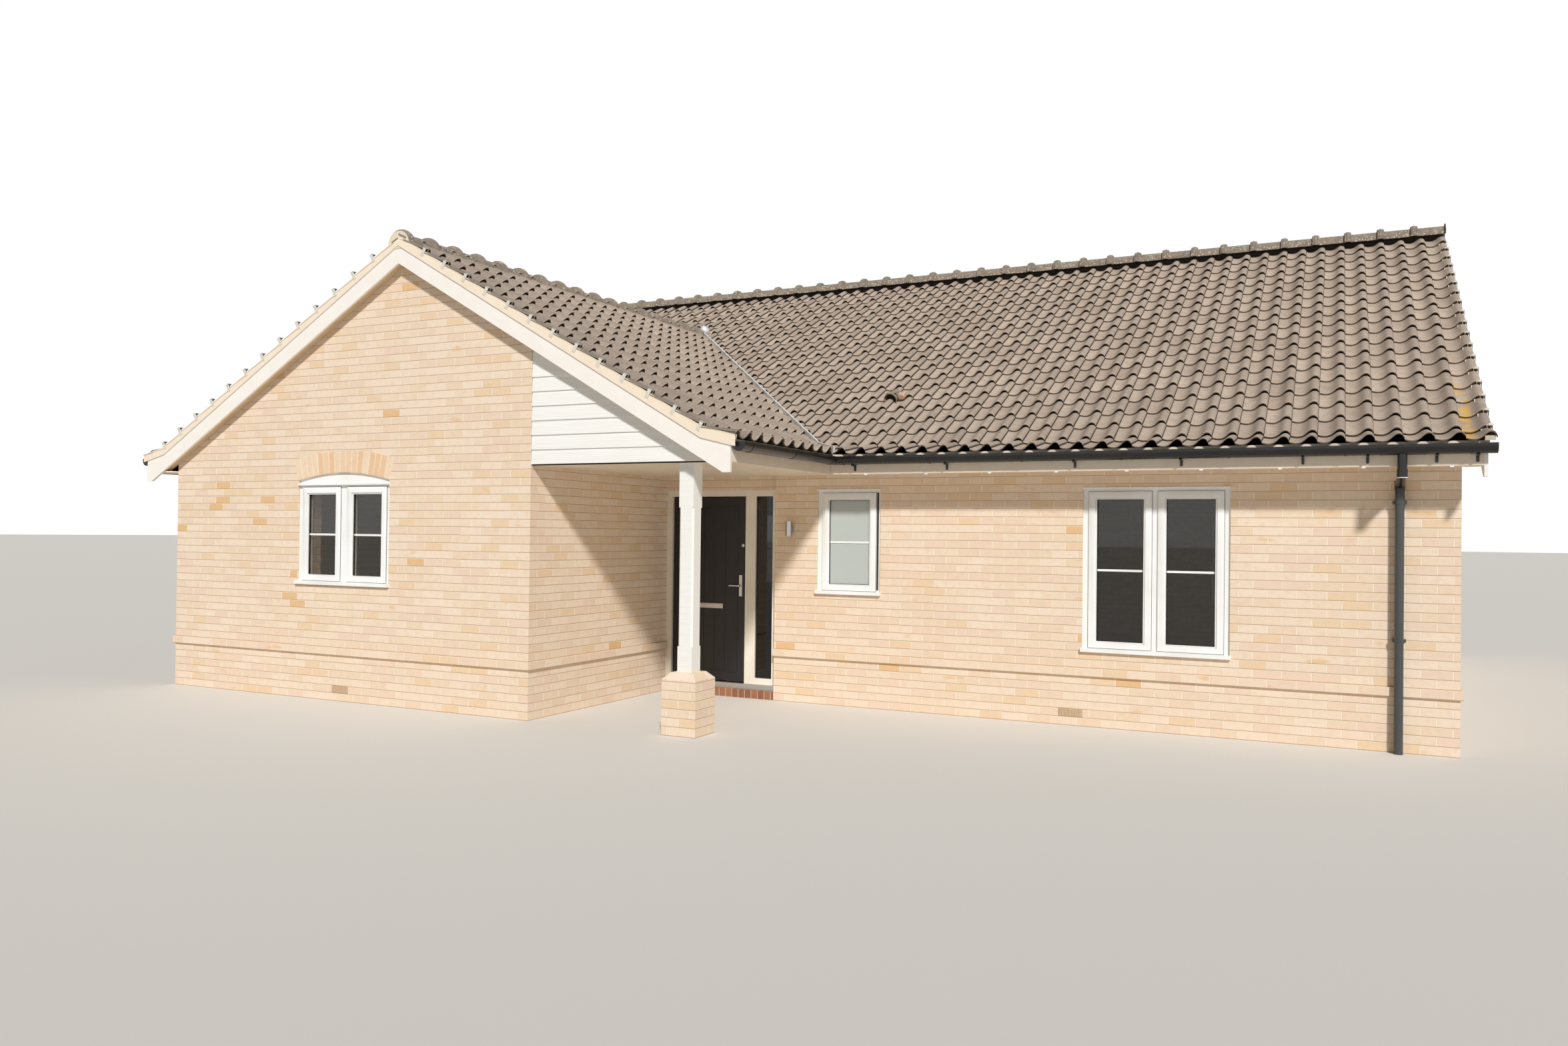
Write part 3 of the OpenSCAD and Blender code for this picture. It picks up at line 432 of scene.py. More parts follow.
# Width, height, number of lights, and width between their openings
large = (1.240, 1.473, 2, 0.186)
small = (0.675, 1.041, 1, 0.0)
half_turn = Matrix.Translation((0, rear, 0)) @ Matrix.Rotation(math.pi, 4, "Z")
end_spot = 6.3275
left_end = Matrix.Translation((-wing_width, end_spot + small[0], 0)) @ Matrix.Rotation(-math.pi / 2, 4, "Z")
right_end = Matrix.Translation((main_width, end_spot, 0)) @ Matrix.Rotation(math.pi / 2, 4, "Z")
window_sets = {
    "wing_window": [(Matrix.Translation((-2.930, 0, 0)), 1.235, 1.005, 2, 0.226)],
    "main_windows": [(Matrix.Translation((1.805, porch_depth, 0)), *small),
                     (Matrix.Translation((4.428, porch_depth, 0)), *large)],
    "rear_windows": [(half_turn @ Matrix.Translation((3.370 - 1.240, 0, 0)), *large),
                     (half_turn @ Matrix.Translation((-4.720 - 1.240, 0, 0)), *large),
                     (half_turn @ Matrix.Translation((-0.9575 - 0.675, 0, 0)), *small)],
    "end_windows": [(left_end, *small), (right_end, *small)],
}
for name, windows in window_sets.items():
    sashes, seals = casements(windows)
    if name == "main_windows":
        # A dark strip along the right side of the small window's sash is painted shade in the gap it leaves
        sash_gap_shade = block((2.4385, porch_depth + frame_face - 0.004, window_head - 0.990),
                    (2.4560, porch_depth + frame_face + 0.004, window_head - 0.034))
        seals = join([seals, sash_gap_shade])
    fit(sashes, name + "_sashes", vinyl)
    fit(seals, name + "_gaskets", gasket)

glazing, shader, place = new_material("sealed_glass_unit", roughness=0.02, ior=1.5, transmission_weight=1.0)
dust = add(glazing, "TexNoise", {"Vector": place, "Scale": 5.0, "Detail": 6.0})
haze = add(glazing, "MapRange", {
    "Value": dust, "From Min": 0.45, "From Max": 0.8, "To Min": 0.01, "To Max": 0.06})
# The small window by the porch is glazed with obscured glass, pale and cloudy
from_small = add(glazing, "VectorMath", {
    0: place, 1: corner + Vector((2.1425, 2.297, 1.620))}, operation="DISTANCE")
cloudy = add(glazing, "Math", {0: from_small, 1: 0.60}, operation="LESS_THAN")
haze = add(glazing, "Mix", {0: cloudy, 2: haze, 3: 0.45})
# The side light is of dark tinted glass
in_plan = add(glazing, "VectorMath", {0: place, 1: (1, 1, 0)}, operation="MULTIPLY")
from_side = add(glazing, "VectorMath", {
    0: in_plan, 1: corner + Vector((1.172, 2.346, 0))}, operation="DISTANCE")
tinge = add(glazing, "Math", {0: from_side, 1: 0.20}, operation="LESS_THAN")
tinge = add(glazing, "Mix", {0: tinge, 6: linear("#eae2d6"), 7: linear("#3c4247")}, data_type="RGBA")
tinge = add(glazing, "Mix", {0: cloudy, 6: tinge, 7: linear("#c9d0cb")}, data_type="RGBA")
clear = add(glazing, "Math", {0: cloudy, 1: -0.8, 2: 1.0}, operation="MULTIPLY_ADD")
link(haze, shader.inputs["Roughness"])
link(tinge, shader.inputs["Base Color"])
link(clear, shader.inputs["Transmission Weight"])
dress(["front_window_glass", "rear_window_glass", "end_window_glass", "side_light_glass"], glazing)


# Front door: a near-black composite leaf with a moulded border and upright grooves, in a cream frame with
# a side light. The letter plate, lever handle, lock, threshold and wall light are brushed steel.
leaf_face = 2.337
leaf_left = 0.070
leaf_right = 0.946
leaf_foot = 0.148
leaf_head = 2.075
door_cream = tinted("cream_door_frame_vinyl", 4.0, 6.0, [(0.35, "#f1eadd"), (0.75, "#e6dccb")],
                    roughness=0.35, ior=1.52)[0]
dress(["door_frame"], door_cream)

black_skin, shader, _, fibres, _ = tinted(
    "black_grained_door_skin", 1.0, 4.0, [(0.3, "#19181b"), (0.8, "#232225")],
    stretch=(220.0, 220.0, 6.0), roughness=0.42)
grained = add(black_skin, "Bump", {"Height": fibres, "Strength": 0.35, "Distance": 0.001})
link(grained, shader.inputs["Normal"])
dress(["door_leaf"], black_skin)

steel, shader, place = new_material("brushed_stainless_steel", metallic=1.0, roughness=0.34,
                                    base_color=linear("#c9c9c7"))
brushed = add(steel, "Mapping", {"Vector": place, "Scale": (20.0, 20.0, 900.0)})
brushed = add(steel, "TexNoise", {"Vector": brushed, "Scale": 1.0, "Detail": 3.0})
polish = add(steel, "MapRange", {"Value": brushed, "To Min": 0.26, "To Max": 0.44})
link(polish, shader.inputs["Roughness"])
dress(["door_furniture", "wall_light", "door_threshold"], steel)

border = 0.110
slat_count = 5
slat = (leaf_right - leaf_left - 2 * border) / slat_count
slats = []
for i in range(slat_count):
    left = leaf_left + border + i * slat
    slats.append(block((left + 0.0015, leaf_face + 0.0005, leaf_foot + border + 0.002),
                       (left + slat - 0.0015, leaf_face + 0.0045, leaf_head - border - 0.002), 0.0012))
slats.append(ring((leaf_left + 0.094, leaf_foot + 0.094), (leaf_right - 0.094, leaf_head - 0.094), 0.020,
                  leaf_face - 0.005, leaf_face + 0.002, 0.002))
fit(join(slats), "door_panel_mouldings", black_skin, body="door", smooth=20)

flap = block((0.348, leaf_face - 0.0095, 0.912), (0.668, leaf_face - 0.002, 0.948), 0.002)
lock = begin(bpy.ops.mesh.primitive_cylinder_add, vertices=20, radius=0.017, depth=0.016,
             location=(0.915, leaf_face - 0.001, 1.571), rotation=(math.pi / 2, 0, 0))
shape(lock, bpy.ops.mesh.bevel, offset=0.002, segments=2, affect="EDGES")
fit(join([flap, lock]), "letter_flap_and_lock", steel, body="door")


# Porch: a white-painted softwood post on the pier, shiplap boards in the gable over it, each 130 mm
# deep and lapped so that its lower edge throws a line of shadow, and a boarded ceiling behind them.
board_depth = 0.130
soffit = 2.285
wing_ridge_x = -1.5175
paint, shader, _, strokes, _ = tinted(
    "white_painted_softwood", 1.0, 5.0, [(0.3, "#f3f2ee"), (0.75, "#e7e5de")],
    stretch=(2.0, 90.0, 90.0), roughness=0.5)
wood = add(paint, "Bump", {"Height": strokes, "Strength": 0.3, "Distance": 0.0015})
link(wood, shader.inputs["Normal"])
dress(["porch_post"], paint)

boards = []
for i in range(9):
    foot = soffit + i * board_depth
    board = block((0.004, 0.0, foot + 0.010), (2.10, 0.022, foot + board_depth + 0.012))
    for vertex in board.data.vertices:
        if vertex.co.z > foot + 0.1 and vertex.co.y < 0.01:
            vertex.co.y = 0.011
    boards.append(board)
boards = join(boards)


def trim(piece, point, outward, fill=False):
    """Cuts a piece with a plane and throws away what lies on its outward side."""
    return shape(piece, bpy.ops.mesh.bisect, plane_co=Vector(point), plane_no=Vector(outward),
                 clear_outer=True, use_fill=fill)


def node_copy(name):
    """A merged copy of one of the part's own solids, set out from the porch corner."""
    piece = another(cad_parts[name], Matrix.Translation(-corner))
    for key in list(piece.keys()):
        del piece[key]
    piece.parent = None
    return shape(piece, bpy.ops.mesh.remove_doubles, threshold=0.0001)


slope = math.radians(29.8)
wing_top = 4.4686
trim(boards, (wing_ridge_x, 0, wing_top - 0.178), (math.sin(slope), 0, math.cos(slope)), fill=True)
# A dark sheet behind the boards, a copy of the porch's boarding pushed back, is painted shade in the gaps
# between them
backing = node_copy("porch_boards")
for vertex in backing.data.vertices:
    if vertex.co.y < 0.01:
        vertex.co.y = 0.024
fit(boards, "shiplap_boards", paint, smooth=20, replaced=["porch_boards"])
board_gap_shade = tinted("board_gap_painted_shade", 12.0, 5.0, [(0.3, "#2a231d"), (0.8, "#3b322a")], roughness=0.9)[0]
fit(backing, "board_gap_shade_sheet", board_gap_shade)

lining, shader, place, _, tone = tinted(
    "cream_soffit_boarding", 5.0, 6.0, [(0.3, "#efe4cf"), (0.75, "#e4d6bd")], roughness=0.45)
# Grooves 4 mm wide between boards of 100 mm
lane = add(lining, "SeparateXYZ", {"Vector": place}).outputs["Y"]
lane = add(lining, "Math", {0: lane, 1: 0.100}, operation="DIVIDE")
lane = add(lining, "Math", {0: lane}, operation="FRACT")
groove = add(lining, "Math", {0: lane, 1: 0.04}, operation="LESS_THAN")
lined = add(lining, "Mix", {0: groove, 6: tone, 7: linear("#b7a58a")}, data_type="RGBA")
link(lined, shader.inputs["Base Color"])
dress(["porch_ceiling"], lining)


# Roof carcass: felt and battens on trussed rafters. It is the slab of each slope, cut back under the
# tiles so that the hollows under their rolls are open at eaves and verges.
pitch_x = math.sin(slope)
pitch_z = math.cos(slope)
main_ridge_y = 6.665
main_top = 5.1401
tile_space = Vector((0, 0, 0.040))
felt_and_void_shade = tinted("black_felt_and_painted_shade", 60.0, 4.0, [(0.3, "#1f1e1d"), (0.8, "#2e2c2a")], roughness=0.9)[0]
main_ridge_at = Vector((0, main_ridge_y, main_top))
wing_ridge_at = Vector((wing_ridge_x, 0, wing_top))
carcass = []
for name, ridge_at, outward in (("main_roof_front", main_ridge_at, (0, -pitch_x, pitch_z)),
                                ("main_roof_left", main_ridge_at, (0, -pitch_x, pitch_z)),
                                ("main_roof_rear", main_ridge_at, (0, pitch_x, pitch_z)),
                                ("wing_roof_left", wing_ridge_at, (-pitch_x, 0, pitch_z)),
                                ("wing_roof_right", wing_ridge_at, (pitch_x, 0, pitch_z))):
    carcass.append(trim(node_copy(name), ridge_at - tile_space, outward, fill=True))
fit(join(carcass), "roof_felt_and_battens", felt_and_void_shade, smooth=20)


# Pantiles: grey-brown concrete tiles of 203 mm cover, laid at 289 mm gauge. Each has a wide trough on its
# left and a roll 61 mm high on its right, whose steep edge drops 15 mm to the next tile and throws a line
# of shadow. The lowest course tilts up on the fascia. Lichen grows on them, yellow by the right verge.
cover = 0.203
gauge = 0.289
head_lap = 0.020
tile_thick = 0.013
trough_level = -0.024
tail_lift = 0.020
tail_swell = 1.25
head_swell = 0.92
wing_half = 3.6145
main_half = 4.787
kick_run = 0.275
kick_pitch = math.radians(13.5)
eaves_level = 2.490
lip = 0.050
left_verge = -4.965
right_verge = 7.555
front_verge = -0.120
valley_head = 5.4925
# Part of the cover width and height over the trough, across one tile
tile_section = [(0.0, 0.010), (0.09, 0.0045), (0.18, 0.001), (0.27, 0.0), (0.36, 0.002), (0.45, 0.008),
                (0.54, 0.019), (0.62, 0.033), (0.69, 0.043), (0.76, 0.0485), (0.84, 0.0485), (0.92, 0.041),
                (0.985, 0.023), (1.0, 0.011)]


def modify(piece, kind, **settings):
    """Puts a modifier with its settings on a piece and applies it."""
    only(piece)
    modifier = piece.modifiers.new("modifier", kind)
    for key, value in settings.items():
        setattr(modifier, key, value)
    bpy.ops.object.modifier_apply(modifier=modifier.name)
    return piece


def repeat(piece, step, count, **settings):
    """Repeats a piece at equal steps."""
    return modify(piece, "ARRAY", use_relative_offset=False, use_constant_offset=True,
                  constant_offset_displace=step, count=count, **settings)


def lay_tiles(count, courses, tile_gauge):
    """One tile from a grid, repeated across and up the slope: x across, y up the slope, z out of it."""
    length = tile_gauge + head_lap
    # Rows of the grid: place up the slope, drop below the tail's surface, and whether it is the tile's head
    rows = [(0.0, tile_thick, False), (0.0, 0.004, False), (0.006, 0.0, False), (length, 0.0, True)]
    if courses == 1:
        # The underside of the eaves course shows from the ground
        rows.insert(0, (0.150, tile_thick, False))
    sheet = begin(bpy.ops.mesh.primitive_grid_add, x_subdivisions=len(tile_section) - 1,
                  y_subdivisions=len(rows) - 1, size=1, calc_uvs=True)
    for vertex in sheet.data.vertices:
        part, wave = tile_section[round((vertex.co.x + 0.5) * (len(tile_section) - 1))]
        place_up, drop, head = rows[round((vertex.co.y + 0.5) * (len(rows) - 1))]
        height = trough_level + tail_lift + wave * tail_swell - drop
        if head:
            height = trough_level + wave * head_swell
        vertex.co = (part * cover, place_up, height)
    # One unit of the chart for each tile, so that its whole number tells the tiles apart
    chart = sheet.data.uv_layers.active.data
    for loop in sheet.data.loops:
        spot = sheet.data.vertices[loop.vertex_index].co
        chart[loop.index].uv = (0.001 + 0.998 * spot.x / cover, 0.001 + 0.998 * spot.y / length)
    repeat(sheet, (cover, 0, 0), count, offset_u=1.0, use_merge_vertices=True, merge_threshold=0.0004)
    if courses > 1:
        repeat(sheet, (0, tile_gauge, 0), courses, offset_v=1.0)
    return sheet


def tiled_slope(start, across, toward_ridge, half, count, courses):
    """Tiles on one slope: the tilted lowest course, and the courses above it up to the ridge."""
    across, level = Vector(across), Vector(toward_ridge)
    sheets = []
    for pitch, rows, tile_gauge, run, height in (
            (kick_pitch, 1, (kick_run + lip) / math.cos(kick_pitch), half + lip,
             eaves_level - lip * math.tan(kick_pitch)),
            (slope, courses, gauge, half - kick_run, eaves_level + kick_run * math.tan(kick_pitch))):
        up = level * math.cos(pitch) + Vector((0, 0, math.sin(pitch)))
        sheet = lay_tiles(count, rows, tile_gauge)
        origin = Vector(start) - level * run
        origin.z = height
        turn = Matrix((across, up, across.cross(up))).transposed().to_4x4()
        sheet.data.transform(Matrix.Translation(origin) @ turn)
        sheets.append(sheet)
    return join(sheets)


across_count = math.ceil((right_verge - left_verge) / cover)
main_courses = math.ceil((main_half - kick_run) / math.cos(slope) / gauge)
wing_courses = math.ceil((wing_half - kick_run) / math.cos(slope) / gauge)
wing_count = math.ceil((valley_head - front_verge) / cover) + 1
front_tiles = tiled_slope((right_verge - across_count * cover, main_ridge_y, 0), (1, 0, 0), (0, 1, 0),
                          main_half, across_count, main_courses)
trim(front_tiles, (0, main_ridge_y - 0.004, 0), (0, 1, 0))
left_tiles = another(front_tiles)
rear_tiles = tiled_slope((left_verge + across_count * cover, main_ridge_y, 0), (-1, 0, 0), (0, -1, 0),
                         main_half, across_count, main_courses)
# The wing's right slope is cut through a rising roll at its verge, its left slope through a trough
right_tiles = tiled_slope((wing_ridge_x, front_verge - 0.60 * cover, 0), (0, 1, 0), (-1, 0, 0), wing_half,
                          wing_count, wing_courses)
far_tiles = tiled_slope((wing_ridge_x, front_verge + (wing_count - 0.65) * cover, 0), (0, -1, 0), (1, 0, 0),
                        wing_half, wing_count, wing_courses)
trim(far_tiles, (0, front_verge, 0), (0, -1, 0))
trim(far_tiles, (wing_ridge_x - 0.004, 0, 0), (1, 0, 0))
corner_tiles = another(far_tiles)
for piece, point, outward in (
        (front_tiles, (wing_ridge_x, 0, 0), (-1, 0, 0)),
        (front_tiles, (wing_ridge_x, valley_head + 0.060, 0), (-1, -1, 0)),
        (left_tiles, (wing_ridge_x, 0, 0), (1, 0, 0)),
        (left_tiles, (left_verge, 0, 0), (-1, 0, 0)),
        (left_tiles, (wing_ridge_x, valley_head + 0.060, 0), (1, -1, 0)),
        (rear_tiles, (0, main_ridge_y + 0.004, 0), (0, -1, 0)),
        (rear_tiles, (right_verge, 0, 0), (1, 0, 0)),
        (right_tiles, (0, front_verge, 0), (0, -1, 0)),
        (right_tiles, (wing_ridge_x + 0.004, 0, 0), (-1, 0, 0)),
        (right_tiles, (wing_ridge_x, valley_head + 0.020, 0), (1, 1, 0)),
        (corner_tiles, (left_verge, 0, 0), (1, 0, 0)),
        (corner_tiles, (0, valley_head - (wing_ridge_x - left_verge), 0), (0, 1, 0)),
        (far_tiles, (left_verge, 0, 0), (-1, 0, 0)),
        (far_tiles, (wing_ridge_x, valley_head + 0.020, 0), (-1, 1, 0))):
    trim(piece, point, outward)
far_tiles = join([far_tiles, corner_tiles])

pantile, shader, place = new_material("weathered_concrete_pantile", roughness=0.9)
chart = add(pantile, "UVMap", uv_map="UVMap").outputs["UV"]
tile_number = add(pantile, "VectorMath", {0: chart}, operation="FLOOR")
on_tile = add(pantile, "VectorMath", {0: chart}, operation="FRACTION")
on_tile = add(pantile, "SeparateXYZ", {"Vector": on_tile})
across_tile = on_tile.outputs["X"]
up_tile = on_tile.outputs["Y"]
spot_at = add(pantile, "SeparateXYZ", {"Vector": place})
one_tile = add(pantile, "TexWhiteNoise", {"Vector": tile_number}, noise_dimensions="2D")
batch = add(pantile, "ValToRGB", {"Fac": one_tile})
set_stops(batch, [(0.0, "#b4a190"), (0.35, "#bba998"), (0.7, "#c4b19f"), (1.0, "#ad9a8a")])
# Rain streaks and algae, some 80 mm across
rain = add(pantile, "TexNoise", {"Vector": place, "Scale": 12.0, "Detail": 8.0, "Roughness": 0.65})
skin = coat(pantile, batch, rain, 0.42, 0.72, 0.45, "#85776a")
# The rolls are coloured darker than the troughs
skin = coat(pantile, skin, across_tile, 0.52, 0.66, 0.30, "#80756b")
# Fine ribs of the tile machine across the troughs, some 40 mm apart
ribs = add(pantile, "Math", {0: up_tile, 1: 7.0, 2: rain}, operation="MULTIPLY_ADD")
ribs = add(pantile, "Math", {0: ribs}, operation="FRACT")
ribs = add(pantile, "MapRange", {"Value": ribs, "From Min": 0.25, "From Max": 0.10, "To Max": 0.28})
skin = add(pantile, "Mix", {0: ribs, 6: skin, 7: linear("#6f6359")}, data_type="RGBA")
# The lip at the tail is painted paler, a painted highlight along its lit edge
skin = coat(pantile, skin, up_tile, 0.045, 0.030, 0.55, "#c4b09a")
# The first rolls by the wing's front verge are the darkest, and its tiles grow darker towards that gable
behind_verge = add(pantile, "Math", {
    0: spot_at.outputs["Y"], 1: front_verge + corner.y}, operation="SUBTRACT")
skin = coat(pantile, skin, behind_verge, 0.22, 0.17, 0.55, "#655d55")
skin = coat(pantile, skin, behind_verge, 3.2, 0.3, 0.38, "#746a60")
# Grey-white lichen in spots of about 12 mm, drawn coarser than it is so that it shows
spots = add(pantile, "TexVoronoi", {"Vector": place, "Scale": 42.0})
spotted = add(pantile, "MapRange", {"Value": spots, "From Min": 0.26, "From Max": 0.14})
patchy = add(pantile, "TexNoise", {"Vector": place, "Scale": 2.6, "Detail": 4.0})
patched = add(pantile, "MapRange", {"Value": patchy, "From Min": 0.5, "From Max": 0.68})
pale = add(pantile, "Math", {0: spotted, 1: patched}, operation="MULTIPLY")
skin = coat(pantile, skin, pale, 0.0, 1.0, 0.7, "#d6cbb6")
# Yellow lichen, here and there and thick in the last trough by the right verge near the eaves
from_trough = add(pantile, "Math", {
    0: spot_at.outputs["X"], 1: right_verge + corner.x - 0.165}, operation="SUBTRACT")
from_trough = add(pantile, "Math", {0: from_trough}, operation="ABSOLUTE")
in_trough = add(pantile, "MapRange", {
    "Value": from_trough, "From Min": 0.075, "From Max": 0.035, "To Max": 0.24})
near_eaves = add(pantile, "MapRange", {"Value": spot_at.outputs["Z"], "From Min": 3.60, "From Max": 2.75})
thick = add(pantile, "Math", {0: in_trough, 1: near_eaves}, operation="MULTIPLY")
yellow = add(pantile, "TexNoise", {"Vector": place, "Scale": 6.5, "Detail": 7.0, "Roughness": 0.7})
yellow = add(pantile, "Math", {0: yellow, 1: thick}, operation="ADD")
skin = coat(pantile, skin, yellow, 0.67, 0.75, 0.85, "#cda452")
# The cut face of the tail and the roll's steep edge are painted dark: painted shade where they stand in their
# own shadow
tail_face_shade = add(pantile, "Math", {0: up_tile, 1: 0.002}, operation="LESS_THAN")
skin = coat(pantile, skin, tail_face_shade, 0.0, 1.0, 0.7, "#51463c")
skin = coat(pantile, skin, across_tile, 0.978, 0.984, 1.0, "#3d352e")
link(skin, shader.inputs["Base Color"])
pores = add(pantile, "TexNoise", {"Vector": place, "Scale": 95.0, "Detail": 5.0})
pores = add(pantile, "Math", {0: pores, 1: ribs}, operation="SUBTRACT")
pores = add(pantile, "Bump", {"Height": pores, "Strength": 0.5, "Distance": 0.004})
link(pores, shader.inputs["Normal"])
for piece, name, node in ((front_tiles, "main_front_pantiles", "main_roof_front"),
                          (left_tiles, "main_left_pantiles", "main_roof_left"),
                          (rear_tiles, "main_rear_pantiles", "main_roof_rear"),
                          (right_tiles, "wing_right_pantiles", "wing_roof_right"),
                          (far_tiles, "wing_left_pantiles", "wing_roof_left")):
    fit(piece, name, pantile, smooth=50, replaced=[node])


# Valleys: moulded pale grey liners between the cut tiles, each with a straight rib 20 mm wide that stands
# up between the two slopes and is all that shows.
rib_width = 0.020
wing_knee = wing_half - kick_run
main_knee = main_half - kick_run


def falling(half, top, below, ends):
    """Distance from the ridge and height, at some distances, of a line below a slope's bed."""
    knee = half - kick_run
    return [(u, top - below - min(u, knee) * math.tan(slope) - max(u - knee, 0) * math.tan(kick_pitch))
            for u in ends]


def ribbon(edge, other_edge, thick):
    """A strip between two rows of points, given its thickness to both sides."""
    piece = begin(bpy.ops.mesh.primitive_grid_add, x_subdivisions=len(edge) - 1, y_subdivisions=1, size=1)
    for vertex in piece.data.vertices:
        i = round((vertex.co.x + 0.5) * (len(edge) - 1))
        vertex.co = other_edge[i] if vertex.co.y > 0 else edge[i]
    modify(piece, "SOLIDIFY", thickness=thick, offset=0)
    return shape(piece, bpy.ops.mesh.normals_make_consistent, inside=False)


liner_ribs = []
for side, ends in ((1, (-0.010, wing_knee, wing_half + lip - 0.030)),
                   (-1, (-0.010, wing_knee, wing_ridge_x - left_verge))):
    middle = [Vector((wing_ridge_x + side * (u + 0.020), valley_head - u + 0.020, z))
              for u, z in falling(wing_half, wing_top, -0.028, ends)]
    half_rib = Vector((side, 1, 0)).normalized() * rib_width / 2
    liner_ribs.append(ribbon([point - half_rib for point in middle],
                             [point + half_rib for point in middle], 0.060))
resin = tinted("pale_grey_valley_resin", 9.0, 6.0, [(0.35, "#e2e1de"), (0.75, "#c4c2bd")], roughness=0.5)[0]
fit(join(liner_ribs), "valley_liner_ribs", resin)


# Ridges: half-round concrete ridge tiles 338 mm long, each with a ribbed collar 80 mm wide over the joint.
# The wing's lie on mortar that also closes their front end; under the main ridge's lies a dark core, painted
# shade in the hollow there.
ridge_length = 0.338
barrel = 0.114
barrel_wrap = math.radians(87)
collar = 0.035
collar_width = 0.080
wing_run_start = -0.105
wing_ridge_centre = wing_top - 0.070
# Place along the tile, and part of the collar's height over the barrel
ridge_rings = [(0.000, 0.0), (0.003, 0.60), (0.012, 0.88), (0.021, 0.80), (0.029, 1.0), (0.049, 1.0),
               (0.057, 0.80), (0.066, 0.88), (0.076, 0.60), (collar_width, 0.0), (ridge_length, 0.0)]


def ridge_tiles(start, along, length, centre, bed_radius, bed_depth, first_collar):
    """A run of ridge tiles in a row, from a grid wrapped nearly to a half round, and the bed in it."""
    tile = begin(bpy.ops.mesh.primitive_grid_add, x_subdivisions=14,
                 y_subdivisions=len(ridge_rings) - 1, size=1)
    for vertex in tile.data.vertices:
        place_along, swell = ridge_rings[round((vertex.co.y + 0.5) * (len(ridge_rings) - 1))]
        angle = 2 * vertex.co.x * barrel_wrap
        radius = barrel + collar * swell
        vertex.co = (radius * math.sin(angle), place_along, radius * math.cos(angle))
    repeat(tile, (0, ridge_length, 0), math.ceil(length / ridge_length), use_merge_vertices=True,
           merge_threshold=0.0005)
    if not first_collar:
        trim(tile, (0, collar_width, 0), (0, -1, 0))
        for vertex in tile.data.vertices:
            if vertex.co.y < collar_width + 0.001:
                vertex.co.y = 0.0
    modify(tile, "SOLIDIFY", thickness=0.014)
    # The last tile is cut to the run's length
    trim(tile, (0, length - 0.0005, 0), (0, 1, 0), fill=True)
    bed = begin(bpy.ops.mesh.primitive_cylinder_add, vertices=32, radius=bed_radius, depth=length - 0.012)
    bed.data.transform(Matrix.Translation((0, length / 2, 0)) @ Matrix.Rotation(-math.pi / 2, 4, "X"))
    trim(bed, (0, 0, -bed_depth), (0, 0, -1), fill=True)
    along, up = Vector(along), Vector((0, 0, 1))
    turn = Matrix((along.cross(up), along, up)).transposed().to_4x4()
    for piece in (tile, bed):
        piece.data.transform(Matrix.Translation(Vector(start) + centre * up) @ turn)
    return tile, bed


main_run, main_ridge_shade_core = ridge_tiles((left_verge, main_ridge_y, 0), (1, 0, 0), right_verge - left_verge,
                                 main_top + 0.010, barrel - 0.068, 0.090, False)
wing_run, wing_bed = ridge_tiles((wing_ridge_x, wing_run_start, 0), (0, 1, 0),
                                 valley_head - wing_run_start + 0.080, wing_ridge_centre,
                                 barrel - 0.012, 0.045, True)
# The collar at the front gable is filled with mortar
collar_fill = begin(bpy.ops.mesh.primitive_cylinder_add, vertices=40, radius=barrel + 0.014, depth=0.050,
                    location=(wing_ridge_x, -0.085, wing_ridge_centre), rotation=(math.pi / 2, 0, 0))
settle(collar_fill)
trim(collar_fill, (0, 0, wing_ridge_centre - 0.040), (0, 0, -1), fill=True)
ridge_concrete, shader, place = new_material("weathered_ridge_concrete", roughness=0.9)
rain = add(ridge_concrete, "TexNoise", {"Vector": place, "Scale": 14.0, "Detail": 8.0, "Roughness": 0.65})
tone = add(ridge_concrete, "ValToRGB", {"Fac": rain})
set_stops(tone, [(0.35, "#968979"), (0.6, "#7e7266"), (0.8, "#696056")])
spots = add(ridge_concrete, "TexVoronoi", {"Vector": place, "Scale": 32.0})
spotted = add(ridge_concrete, "MapRange", {"Value": spots, "From Min": 0.36, "From Max": 0.2})
patchy = add(ridge_concrete, "TexNoise", {"Vector": place, "Scale": 3.5, "Detail": 4.0})
patched = add(ridge_concrete, "MapRange", {"Value": patchy, "From Min": 0.45, "From Max": 0.6})
# Lichen is thickest along the lower edges of the main ridge, which is higher than the wing's
height = add(ridge_concrete, "SeparateXYZ", {"Vector": place}).outputs["Z"]
on_main = add(ridge_concrete, "Math", {0: height, 1: 4.8}, operation="GREATER_THAN")
low_edge = add(ridge_concrete, "MapRange", {
    "Value": height, "From Min": main_top + 0.085, "From Max": main_top + 0.050})
low_edge = add(ridge_concrete, "Math", {0: low_edge, 1: on_main}, operation="MULTIPLY")
thickest = add(ridge_concrete, "Math", {0: patched, 1: low_edge}, operation="MAXIMUM")
pale = add(ridge_concrete, "Math", {0: spotted, 1: thickest}, operation="MULTIPLY")
link(coat(ridge_concrete, tone, pale, 0.0, 1.0, 0.8, "#d8cdb4"), shader.inputs["Base Color"])
pores = add(ridge_concrete, "TexNoise", {"Vector": place, "Scale": 95.0, "Detail": 5.0})
pores = add(ridge_concrete, "Bump", {"Height": pores, "Strength": 0.5, "Distance": 0.003})
link(pores, shader.inputs["Normal"])
fit(main_run, "main_ridge_tiles", ridge_concrete, smooth=35, replaced=["main_ridge"])
fit(wing_run, "wing_ridge_tiles", ridge_concrete, smooth=35, replaced=["wing_ridge"])
fit(join([wing_bed, collar_fill]), "ridge_bedding", lime)
# The dark core under the main ridge tiles is painted shade in the hollow under them
fit(main_ridge_shade_core, "ridge_shade_core", felt_and_void_shade)


